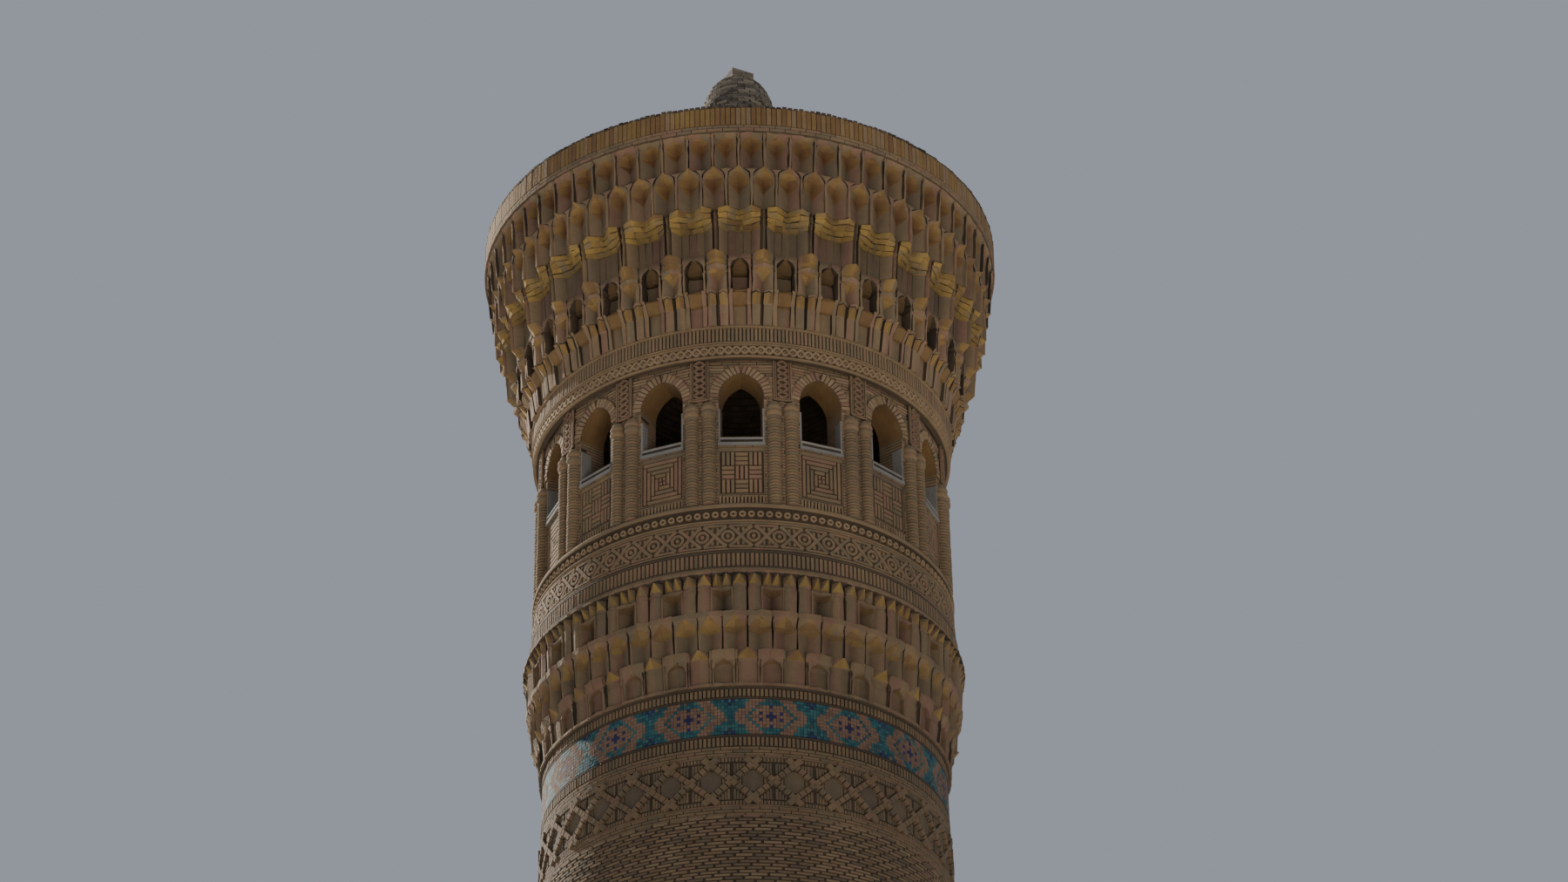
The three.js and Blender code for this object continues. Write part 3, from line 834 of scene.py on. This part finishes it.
# One round bead with a hollow in its middle
def beadCell():
    bm = bmesh.new()
    radius, outer, hole, lift, sides = [beads[key] for key in ("radius", "outer", "hole", "lift", "sides")]
    spots = []
    for spread, out in (
        (outer, -0.01), (outer, lift * 0.75), ((outer + hole) / 2, lift), (hole, lift * 0.7), (hole, 0.0),
    ):
        turns = [(spread * cos(tau * k / sides), spread * sin(tau * k / sides)) for k in range(sides)]
        spots.append([
            bm.verts.new(polar(radius + out, front + x / radius, beads["middle"] + y)) for x, y in turns
        ])
    for low, high in zip(spots, spots[1:]):
        for k in range(sides):
            j = (k + 1) % sides
            bm.faces.new((low[k], low[j], high[j], high[k]))
    bm.faces.new(spots[-1]).material_index = 1
    bm.faces.new(list(reversed(spots[0])))
    return bm


bm = beadCell()
spinAround(bm, beads["count"])
showBmesh("beads", bm, ["paleBrick", "mortar"], "pale_brick", sharp=50)

print("lantern")
bays = {
    "count": 16, "apothem": 3.12, "inner": 2.7, "low": 34.87, "high": 37.6, "half": 0.34, "innerHalf": 0.29,
    "sill": 36.1, "spring": 36.8, "rise": 0.44, "panelHalf": 0.345, "panelLow": 35.08, "panelHigh": 35.93,
    "slotLow": 34.94, "slotHigh": 35.05, "panelDepth": 0.05, "slotDepth": 0.04,
}


# One bay: its arched window goes through, and a panel and a slot are sunk below it
def bayWall():
    bm = bmesh.new()
    edgeHalf = bays["apothem"] * tan(pi / bays["count"])
    innerHalf = bays["inner"] * tan(pi / bays["count"])

    def loop(points, y):
        return [bm.verts.new(Vector((across, y, z)) * metre) for across, z in points]

    def rim(corners):
        pairs = [(corners[i - 1], corners[i]) for i in range(len(corners))]
        return [bm.edges.get(pair) or bm.edges.new(pair) for pair in pairs]

    def bridge(one, other, look):
        for i in range(len(one)):
            j = (i + 1) % len(one)
            bm.faces.new((one[i], other[i], other[j], one[j])).material_index = look(i)

    def sheet(loops, look):
        edges = [edge for corners in loops for edge in rim(corners)]
        made = bmesh.ops.triangle_fill(bm, use_beauty=True, use_dissolve=False, edges=edges)
        for item in made["geom"]:
            if isinstance(item, bmesh.types.BMFace):
                item.material_index = look

    def rectangle(half, low, high):
        return [(half, low), (half, high), (-half, high), (-half, low)]

    outerY, innerY = -bays["apothem"], -bays["inner"]
    face = loop(archOutline(bays["half"], bays["sill"], bays["spring"], bays["rise"], 9), outerY)
    back = loop(archOutline(bays["innerHalf"], bays["sill"], bays["spring"], bays["rise"], 9), innerY)
    frontEdge = loop(rectangle(edgeHalf, bays["low"], bays["high"]), outerY)
    backEdge = loop(rectangle(innerHalf, bays["low"], bays["high"]), innerY)
    sunk = []
    for key in ("panel", "slot"):
        outline = rectangle(bays["panelHalf"], bays[f"{key}Low"], bays[f"{key}High"])
        sunk.append((loop(outline, outerY), loop(outline, outerY + bays[f"{key}Depth"])))
    bridge(face, back, lambda i: 1 if 0 < i < len(face) - 2 else 0)
    sheet([frontEdge, face, *[edge for edge, bottom in sunk]], 0)
    sheet([backEdge, back], 3)
    for edge, bottom in sunk:
        bridge(edge, bottom, lambda i: 0)
        bm.faces.new(bottom).material_index = 2
    for i in (1, 3):
        j = (i + 1) % 4
        bm.faces.new((frontEdge[i], frontEdge[j], backEdge[j], backEdge[i]))
    spinAround(bm, bays["count"])
    return bm


showBmesh(
    "lantern_wall", bayWall(), ["wallBrick", "soffitBrick", "mortar", "shadedInnerBrick"], "brick",
    *[f"lantern_bay_{i:02d}" for i in range(1, 17)], sharp=20,
)


# Arch bricks stand on a thin ring of mortar, and short bricks edge the opening below the spring
def voussoirs():
    relief = Relief(flatWall(bays["apothem"]))
    half, spring = bays["half"], bays["spring"]
    offset, radius, sweep = pointedArch(half, bays["rise"])
    number = 10
    for side in (-1, 1):
        for k in range(number):
            for gap, near, far, lift, look in ((0, 0.002, 0.15, 0.006, 1), (0.12, 0.006, 0.14, 0.022, 0)):
                a0 = sweep * (k + gap) / number
                a1 = sweep * (k + 1 - gap) / number
                corners = []
                for angle, reach in ((a0, near), (a0, far), (a1, far), (a1, near)):
                    across = (radius + reach) * cos(angle) - offset
                    corners.append((max(across, 0.004), spring + (radius + reach) * sin(angle)))
                if side < 0:
                    corners = [(-across, z) for across, z in reversed(corners)]
                relief.prism(corners, lift + 0.006 * (k % 2) * (1 - look), look=look, tone=0.65)
        for k in range(7):
            z = bays["sill"] + 0.3 + coursePitch * k
            relief.brick(side * (half + 0.004), side * (half + 0.045), z, z + 0.042, 0.01)
    return relief


voussoirs().show("voussoirs", ["paleBrick", "mortar"], "brick", count=bays["count"])


woven = {"foot": 35.11, "middle": 35.485, "head": 35.86, "top": 35.925}


# A frame round one of the two plain woven fields
def wovenPanel(field):
    relief = Relief(flatWall(bays["apothem"] - bays["panelDepth"]))
    half = bays["panelHalf"]
    relief.brick(-half, half, bays["panelLow"], woven["foot"], 0.03, tone=0.4)
    relief.brick(-half, half, woven["head"], woven["top"], 0.03, tone=0.35)
    for side in (-1, 1):
        relief.post(side * 0.336, 0.01, woven["foot"], woven["head"] - 0.005, 0.036, tone=0.5)
    field(relief, woven["middle"])
    return relief


def basketField(relief, middle):
    block = 0.204
    for row in range(3):
        for column in range(3):
            left, low = -1.5 * block + column * block, middle - 0.36 + row * 0.242
            for k in range(3):
                near, far = k / 3 + 0.05, (k + 1) / 3 - 0.06
                if (row + column) % 2:
                    edges = left + 0.008, left + block - 0.01, low + 0.236 * near, low + 0.236 * far
                else:
                    edges = left + block * near, left + block * far, low + 0.004, low + 0.228
                relief.brick(*edges, 0.036, tone=0.6)


def nestedField(relief, middle):
    for ring in range(5):
        reach = 0.306 - 0.064 * ring
        for quarter in range(4):
            sine, cosine = sin(quarter * pi / 2), cos(quarter * pi / 2)
            corners = []
            end, inside = reach - 0.064, reach - 0.044
            for along, out in ((-reach, inside), (end, inside), (end, reach), (-reach, reach)):
                corners.append((along * cosine - out * sine, middle + 1.17 * (along * sine + out * cosine)))
            relief.prism(corners, 0.036, tone=0.6)


for number, field in enumerate((basketField, nestedField)):
    wovenPanel(field).show(f"woven_panels_{number + 1}", ["looseBrick"], "pale_brick",
                           count=bays["count"] // 2, phase=number * 0.5)


def panelDentils():
    relief = Relief(flatWall(bays["apothem"] - bays["slotDepth"]))
    for k in range(13):
        relief.post(-0.324 + 0.054 * k, 0.016, bays["slotLow"], bays["slotHigh"], 0.036, tone=0.5)
    return relief


panelDentils().show("panel_dentils", ["paleBrick"], "pale_brick", count=bays["count"])


# Half the width, the two heights, the lift, the look, the tone and the bed of each sill
sills = [
    (0.355, 35.945, 35.995, 0.085, 0, 0.5, -0.1), (0.34, 36.05, 36.078, 0.078, 0, 0.6, -0.1),
    (0.34, 36.07, 36.1, 0.02, 0, 0.4, -0.3), (0.335, 35.985, 36.055, 0.063, 1, 0.2, 0.03),
]


def sillStones():
    relief = Relief(flatWall(bays["apothem"] - 0.06))
    for half, low, high, lift, look, tone, bed in sills:
        relief.post(0, half, low, high, lift, look=look, tone=tone, bed=bed)
    for side in (-1, 1):
        relief.post(side * 0.33, 0.014, 35.99, 36.055, 0.075, tone=0.5, bed=-0.1)
        relief.brick(side * 0.318, side * 0.345, 36.1, 36.6, 0.064, tone=0.45, bed=-0.3)
    return relief


sillStones().show("sill_stones", ["board", "mortar"], "pale_brick", count=bays["count"], spread=0.2)


strips = {"apothem": 3.186, "low": 36.72, "high": 37.43, "period": 0.22, "swing": 0.07, "steps": 12}


# Two strands that cross between raised edges, over each pair of colonettes
def cornerStrips():
    relief = Relief(flatWall(strips["apothem"]))
    low, high = strips["low"], strips["high"]
    relief.brick(-0.14, 0.14, low, high, 0.0, look=1, tone=0.4, bed=-0.06)
    for side in (-1, 1):
        for near, far, lift in ((0.122, 0.14, 0.028), (0.094, 0.108, 0.024)):
            relief.brick(side * near, side * far, low, high, lift, tone=0.6)
    relief.brick(-0.14, 0.14, low, low + 0.02, 0.03, tone=0.6)
    relief.brick(-0.11, 0.11, low + 0.035, low + 0.05, 0.026, tone=0.6)
    swing, steps = strips["swing"], strips["steps"]
    rise = strips["period"] / steps
    for k in range(int((high - low - 0.05) / rise)):
        for side in (-1, 1):
            z = low + 0.055 + rise * k
            start = (side * swing * sin(tau * k / steps), z)
            end = (side * swing * sin(tau * (k + 1) / steps), z + rise)
            lift = 0.032 + 0.003 * side * (1 if (k // 6) % 2 else -1)
            relief.strap(start, end, 0.03, lift, grow=0.004, tone=0.8)
    return relief


cornerStrips().show("corner_strips", ["looseBrick", "mortar"], "pale_brick", count=bays["count"], phase=0.5)


def lineOverArch():
    relief = Relief(flatWall(bays["apothem"]))
    for side in (-1, 1):
        for z in (37.29, 37.34):
            relief.brick(side * 0.26, side * 0.49, z, z + 0.03, 0.014, tone=0.7)
        for k in range(10):
            z = 36.66 + coursePitch * k
            relief.brick(side * 0.43, side * 0.49, z, z + 0.042, 0.01, tone=0.5)
    return relief


lineOverArch().show("course_over_arch", ["paleBrick"], "brick", count=bays["count"])

colonette = {
    "offset": 0.49, "radius": 0.105, "low": 34.87, "high": 36.46, "sides": 14,
    "capital": [
        (0.1, 36.44), (0.124, 36.46), (0.13, 36.49), (0.12, 36.525), (0.105, 36.535), (0.122, 36.55),
        (0.128, 36.575), (0.12, 36.61), (0.1, 36.62), (0.085, 36.68), (0.03, 36.72),
    ],
}


def turnedProfile(bm, profile, centre, sides):
    rings = []
    for radius, z in profile:
        turns = [(radius * cos(tau * k / sides), radius * sin(tau * k / sides)) for k in range(sides)]
        rings.append([bm.verts.new(Vector((centre[0] + x, centre[1] + y, z)) * metre) for x, y in turns])
    tone = bm.faces.layers.float.get("tone") or bm.faces.layers.float.new("tone")
    for number, (low, high) in enumerate(zip(rings, rings[1:])):
        for k in range(sides):
            j = (k + 1) % sides
            made = bm.faces.new((low[k], low[j], high[j], high[k]))
            made[tone] = 0.5 + 0.2 * sin(number // 4 * 2.4 + centre[0] * 9)  # one tone for every course
    bm.faces.new(list(reversed(rings[0])))
    bm.faces.new(rings[-1])


bm = bmesh.new()
for side in (-1, 1):
    profile = []
    z = colonette["low"]
    while z + coursePitch < colonette["high"]:
        reach = colonette["radius"] + chance.uniform(-0.004, 0.003)
        profile += [(reach - 0.02, z + 0.001), (reach - 0.02, z + 0.011), (reach, z + 0.014),
                    (reach, z + coursePitch - 0.003)]
        z += coursePitch
    profile += colonette["capital"]
    turnedProfile(bm, profile, (side * colonette["offset"], -bays["apothem"]), colonette["sides"])
spinAround(bm, bays["count"])
showBmesh("colonettes", bm, ["looseBrick"], "brick", sharp=40)

print("frieze")
moulding("frieze_bed", [
    (3.27, 37.45), (3.262, 37.455), (3.262, 37.64), (3.29, 37.69), (3.295, 37.945), (3.3, 37.97),
], "mortar", "pale_brick", "lantern_frieze", inner=3.16)
friezeLines = [
    (37.445, 37.466, 3.298), (37.64, 37.664, 3.315), (37.672, 37.695, 3.325), (37.945, 37.972, 3.345),
]
for number, (low, high, out) in enumerate(friezeLines):
    moulding(f"frieze_line_{number + 1}", [
        (out - 0.01, low), (out, low + 0.005), (out, high - 0.005), (out - 0.01, high),
    ], inner=3.25)
uprights("frieze_dentils", 3.295, 37.7, 37.945, 352, 0.028, fill=0.68)


braid = {"radius": 3.265, "middle": 37.553, "swing": 0.06, "cells": 84, "steps": 12, "lift": 0.036}


# Two strands that cross twice in a cell, with a knob in each loop
def braidCell():
    relief = Relief(roundWall(braid["radius"]))
    length = tau * braid["radius"] / braid["cells"]
    middle, swing, steps, lift = [braid[key] for key in ("middle", "swing", "steps", "lift")]
    for k in range(steps):
        for side in (-1, 1):
            start = (length * k / steps, middle + side * swing * sin(tau * k / steps))
            end = (length * (k + 1) / steps, middle + side * swing * sin(tau * (k + 1) / steps))
            over = 0.003 if (k // (steps // 4)) % 2 == (side > 0) else 0
            relief.strap(start, end, 0.034, lift + over, grow=0.004, tone=0.6)
    for share in (0.25, 0.75):
        relief.post(length * share, 0.018, middle - 0.018, middle + 0.018, lift * 0.6, tone=0.5)
    return relief


braidCell().show("frieze_braid", ["paleBrick"], "pale_brick", count=braid["cells"], spread=0.2)

print("upper niches")
shares = [0, 0.143, 0.155, 0.245, 0.255, 0.27, 0.36, 0.465, 0.475, 0.5]
nicheRing("upper_niches_1", [
    (37.97, shares, [33, 33, 38, 38, 36, 38, 38.5, 38, 34, 34], "030330033"),
    (38.3, shares, [37, 37, 42, 42, 40, 42.5, 43, 42.5, 38, 38], "230330033"),
    (38.31, shares, [42, 42, 42.5, 42.5, 40, 43, 44, 43, 38, 38], "230331133"),
    (38.46, shares, [53, 53, 53, 50, 47, 49, 55, 49, 43, 43], "330333333"),
    (38.475, shares, [50, 50, 54, 51, 48, 50, 56, 50, 44, 44], "230330033"),
    (38.5, shares, [52, 52, 57, 55, 52, 55, 57.5, 51, 45, 45], ""),
], 32, 0, 3.1, "umberBrick", "cornice_tier_1")


def grooved(edge):
    return [0, edge - 0.03, edge - 0.01, edge, 0.245, 0.258, 0.275, 0.34, 0.5]


def pleated(crease, edge=(0.43, 0.445, 0.46)):
    return [0, crease, *edge, 0.5]


# The hoods of the third tier step out course by course, with a groove over each course
def steppedTier():
    shares = [0, 0.08, 0.088, 0.24, 0.25, 0.43, 0.445, 0.475, 0.5]
    foot = [61, 61, 61, 61, 61, 75, 69, 71, 79]
    brow = [64, 64, 64, 64, 64, 79, 73, 75, 83]
    crown = [80, 84, 84.5, 94.5, 95.5, 88.5, 80, 82, 88]
    springs, top, steps = 39.51, 39.8, 4
    brick, joint = "11111300", "33333300"
    rows = [(39.1, shares, foot, "03030300"), (springs, shares, brow, brick)]
    end = brow
    for k in range(1, steps + 1):
        low = springs + (top - springs) * (k - 1) / steps
        high = springs + (top - springs) * k / steps
        if k > 1:
            rows.append((low + 0.001, shares, end, brick))
        start = [first + (last - first) * (k - 0.6) / steps for first, last in zip(brow, crown)]
        end = [first + (last - first) * k / steps for first, last in zip(brow, crown)]
        rows += [(low + 0.003, shares, start, brick), (high - 0.007, shares, end, joint),
                 (high - 0.004, shares, [reach - 2 for reach in end], joint)]  # a groove of two centimetres
    return rows + [(top, shares, crown, "")]


wide, narrow = grooved(0.2), grooved(0.04)
nicheRing("upper_niches_2", [
    (38.5, wide, [42, 42, 36, 57, 57, 53, 57, 57.5, 45], "03303300"),
    (38.68, wide, [42.5, 42.5, 36.5, 58, 58, 54, 58, 58.5, 48], "0330330d"),
    (38.8, wide, [43, 43, 37, 59, 59, 55, 58.5, 59, 56], "33303301"),
    (38.805, wide, [36, 36, 36, 59, 59, 55, 58.5, 59.2, 57], "33303301"),
    (38.85, wide, [38, 38, 38, 59.5, 59.5, 55.5, 59, 60, 64], "13303300"),
    (38.855, wide, [46, 46, 40, 59.5, 59.5, 55.5, 61, 63, 67], "23303300"),
    (38.9, wide, [48, 48, 42, 60, 60, 56, 62, 64, 69], "23303333"),
    (38.905, wide, [48.5, 48.5, 43, 60, 60, 56, 60, 60, 63], "22303301"),
    (38.95, grooved(0.185), [51, 50.5, 47, 60.5, 60.5, 56.5, 59.5, 61, 66], "22303301"),
    (38.99, grooved(0.14), [54, 54, 50, 61, 61, 57, 60, 62.5, 69], "22303301"),
    (39.02, grooved(0.08), [57.5, 57, 55, 61.5, 61.5, 58, 60, 64, 71.5], "22303301"),
    (39.035, narrow, [60, 60, 60, 62, 62, 58.5, 60, 65, 73], "000033c1"),
    (39.1, narrow, [62, 62, 62, 62, 62, 61, 63, 70, 79], ""),
], 32, 0, 3.15, "umberBrick", "cornice_tier_2")
nicheRing("upper_niches_3", steppedTier(), 32, 0, 3.2, "hoodBrick", "cornice_tier_3")
nicheRing("upper_niches_4", [
    (39.8, pleated(0.4), [82, 91, 93, 90, 96.5, 96.5], "00300"),
    (40.05, pleated(0.4), [84, 92, 94, 91, 97.5, 97.5], "e0300"),
    (40.22, pleated(0.4), [82, 94, 95.5, 92, 98.5, 98.5], "10300"),
    (40.33, pleated(0.34), [88, 95, 96.5, 93, 99, 99], "10330"),
    (40.4, pleated(0.2, (0.39, 0.41, 0.43)), [98, 98, 97, 93, 99, 99.5], "10330"),
    (40.44, pleated(0.06, (0.26, 0.29, 0.31)), [106, 105, 99, 94, 100, 100], "10330"),
    (40.455, pleated(0.04, (0.16, 0.18, 0.2)), [107.5, 107, 100, 96, 100, 100], ""),
], 64, 0, 3.5, "shadedHoodBrick", "cornice_tier_4")
nicheRing("upper_niches_5", [
    (40.455, pleated(0.4), [91, 101, 103, 100, 106.5, 106.5], "00330"),
    (40.68, pleated(0.4), [93, 103, 104.5, 101, 108.5, 108.5], "e0330"),
    (40.82, pleated(0.4), [91, 104, 105.5, 102, 109.5, 109.5], "10330"),
    (40.92, pleated(0.33), [97, 104, 106.5, 103, 110.5, 110.5], "10330"),
    (40.97, pleated(0.24), [105, 105, 107.5, 104, 111, 111], "10330"),
    (41.0, pleated(0.08), [108.5, 108, 108, 105, 111.5, 111.5], "00000"),
    (41.05, pleated(0.08), [113] * 6, ""),
], 64, 0.5, 3.7, "shadedHoodBrick", "cornice_tier_5")

print("roof")
moulding("rim_bed", [
    (4.11, 41.05), (4.145, 41.055), (4.15, 41.085), (4.125, 41.09), (4.125, 41.12), (4.155, 41.125),
    (4.16, 41.16), (4.14, 41.17), (4.145, 41.53), (3.87, 41.54),
], "bedBrick", "pale_brick", "roof_rim", inner=3.87)
stretchers("rim_courses", 4.145, 41.06, 41.17, 2, 0.24, 0.02, spread=0.45)
uprights("rim_uprights", 4.135, 41.175, 41.51, 330, 0.03, "ochreBrick", fill=0.9, spread=0.34, uneven=0.012)
uprights("rim_crest", 4.135, 41.5, 41.545, 290, 0.033, "mortar", fill=0.82, spread=0.4, uneven=0.012)

cupola = {
    "outline": [(1.3, 41.17), (0.68, 44.2), (0.62, 44.6), (0.575, 44.8), (0.52, 44.95), (0.42, 45.1),
                (0.31, 45.2), (0.25, 45.24)],
    "axis": 0.02, "length": 0.2, "pitch": 0.056, "brick": 0.05,
}


def cupolaRadius(z):
    outline = cupola["outline"]
    for (r0, z0), (r1, z1) in zip(outline, outline[1:]):
        if z <= z1:
            return r0 + (r1 - r0) * (z - z0) / (z1 - z0)
    return outline[-1][0]


base, top = cupola["outline"][0][1], cupola["outline"][-1][1]
core = [(radius - 0.02, z) for radius, z in cupola["outline"]]
showBmesh("cupola_core", turnedRing([(cupola["axis"], base), *core, (cupola["axis"], top)], 48), ["mortar"],
          "brick", "cupola")
relief = Relief(lambda angle, z, lift: polar(lift, front + angle, z))
z = base
row = 0
while z + cupola["brick"] < top + 0.01:
    outer = cupolaRadius(z + 0.02)
    number = max(8, int(tau * outer / cupola["length"]))
    for k in range(number):
        start = tau * (k + 0.5 * (row % 2) + chance.uniform(-0.08, 0.08)) / number
        end = start + tau / number - 0.004 / outer
        relief.brick(start + 0.008 / outer, end, z + 0.004, z + cupola["brick"],
                     outer - chance.uniform(0.0, 0.02), bed=max(outer - 0.1, cupola["axis"]))
    z += cupola["pitch"]
    row += 1
relief.show("cupola_bricks", ["greyBrick"], "brick", spread=0.48)

cap = {"turn": radians(27), "half": 0.2, "low": 45.24, "middle": 45.335, "pitch": 0.062}
for face in range(4):
    relief = Relief(flatWall(cap["half"] - 0.012, cap["turn"] + face * pi / 2))
    for row in range(3):
        low = cap["low"] + cap["pitch"] * row
        cut = -0.03 if row % 2 else 0.05
        end = cap["half"] - 0.002
        for left, right in ((-end, cut - 0.004), (cut + 0.004, end)):
            relief.brick(left, right, low + 0.004, low + cap["pitch"] - 0.004, 0.011, tone=0.5)
    relief.show(f"cap_face_{face + 1}", ["greyBrick"], "brick", spread=0.45)
bm = bmesh.new()
bmesh.ops.create_cube(bm, size=metre, matrix=(
    Matrix.Rotation(cap["turn"], 4, "Z") @ Matrix.Translation((0, 0, cap["middle"] * metre))
    @ Matrix.Diagonal((0.37, 0.37, 0.19, 1))
))
bmesh.ops.bevel(bm, geom=bm.edges[:], offset=0.004, segments=2, profile=0.5, affect="EDGES", material=-1)
showBmesh("cap_core", bm, ["mortar"], "brick", "cupola_cap")

print("foot")
moulding("plinth_body", [
    (4.6, 0.0), (4.6, 0.42), (4.62, 0.43), (4.62, 0.48), (4.6, 0.5),
], "mortar", "brick", "plinth", inner=0.01, sides=144)
stretchers("plinth_bricks", 4.59, 0.0, 0.5, 8, 0.3, 0.024, "brick")

# What still shows of the frame's own nodes: the inside of the head, its floor and the roof deck; the inside
# walls take the darker inner brick, which is painted shade
for name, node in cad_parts.items():
    if not node.hide_render:
        node.data.materials.clear()
        level = name in ("roof_deck", "lantern_floor")
        node.data.materials.append(looks["bedBrick" if level else "shadedInnerBrick"])

print("stage and light")
bm = bmesh.new()
bmesh.ops.create_grid(bm, x_segments=2, y_segments=2, size=60)
mesh = bpy.data.meshes.new("ground")
bm.to_mesh(mesh)
bm.free()
ground = bpy.data.objects.new("ground", mesh)
bpy.context.scene.collection.objects.link(ground)
pale = bpy.data.materials.new("pale_ground")
pale.use_nodes = True
pale.node_tree.nodes["Principled BSDF"].inputs["Base Color"].default_value = (0.6, 0.6, 0.6, 1)
mesh.materials.append(pale)

world = bpy.data.worlds.new("sky")
bpy.context.scene.world = world
world.use_nodes = True
world.node_tree.nodes["Background"].inputs["Color"].default_value = (0.8, 0.87, 1, 1)
world.node_tree.nodes["Background"].inputs["Strength"].default_value = 0.38


def addLamp(name, kind, place, target, energy, size, colour):
    lamp = bpy.data.lights.new(name, kind)
    lamp.energy, lamp.color = energy, colour
    if kind == "SUN":
        lamp.angle = radians(size)
    else:
        lamp.shape, lamp.size, lamp.spread = "DISK", size, radians(60)
    holder = bpy.data.objects.new(name, lamp)
    holder.location = place
    holder.rotation_mode = "QUATERNION"
    holder.rotation_quaternion = (Vector(place) - Vector(target)).to_track_quat("Z", "Y")
    bpy.context.scene.collection.objects.link(holder)


addLamp("sun", "SUN", (-15, 15, 33), (0, 0, 19), 6.5, 3, (1, 0.94, 0.84))
addLamp("bounce", "AREA", (6, -22, 2), (0, 0, 19), 210, 8, (1, 0.91, 0.78))
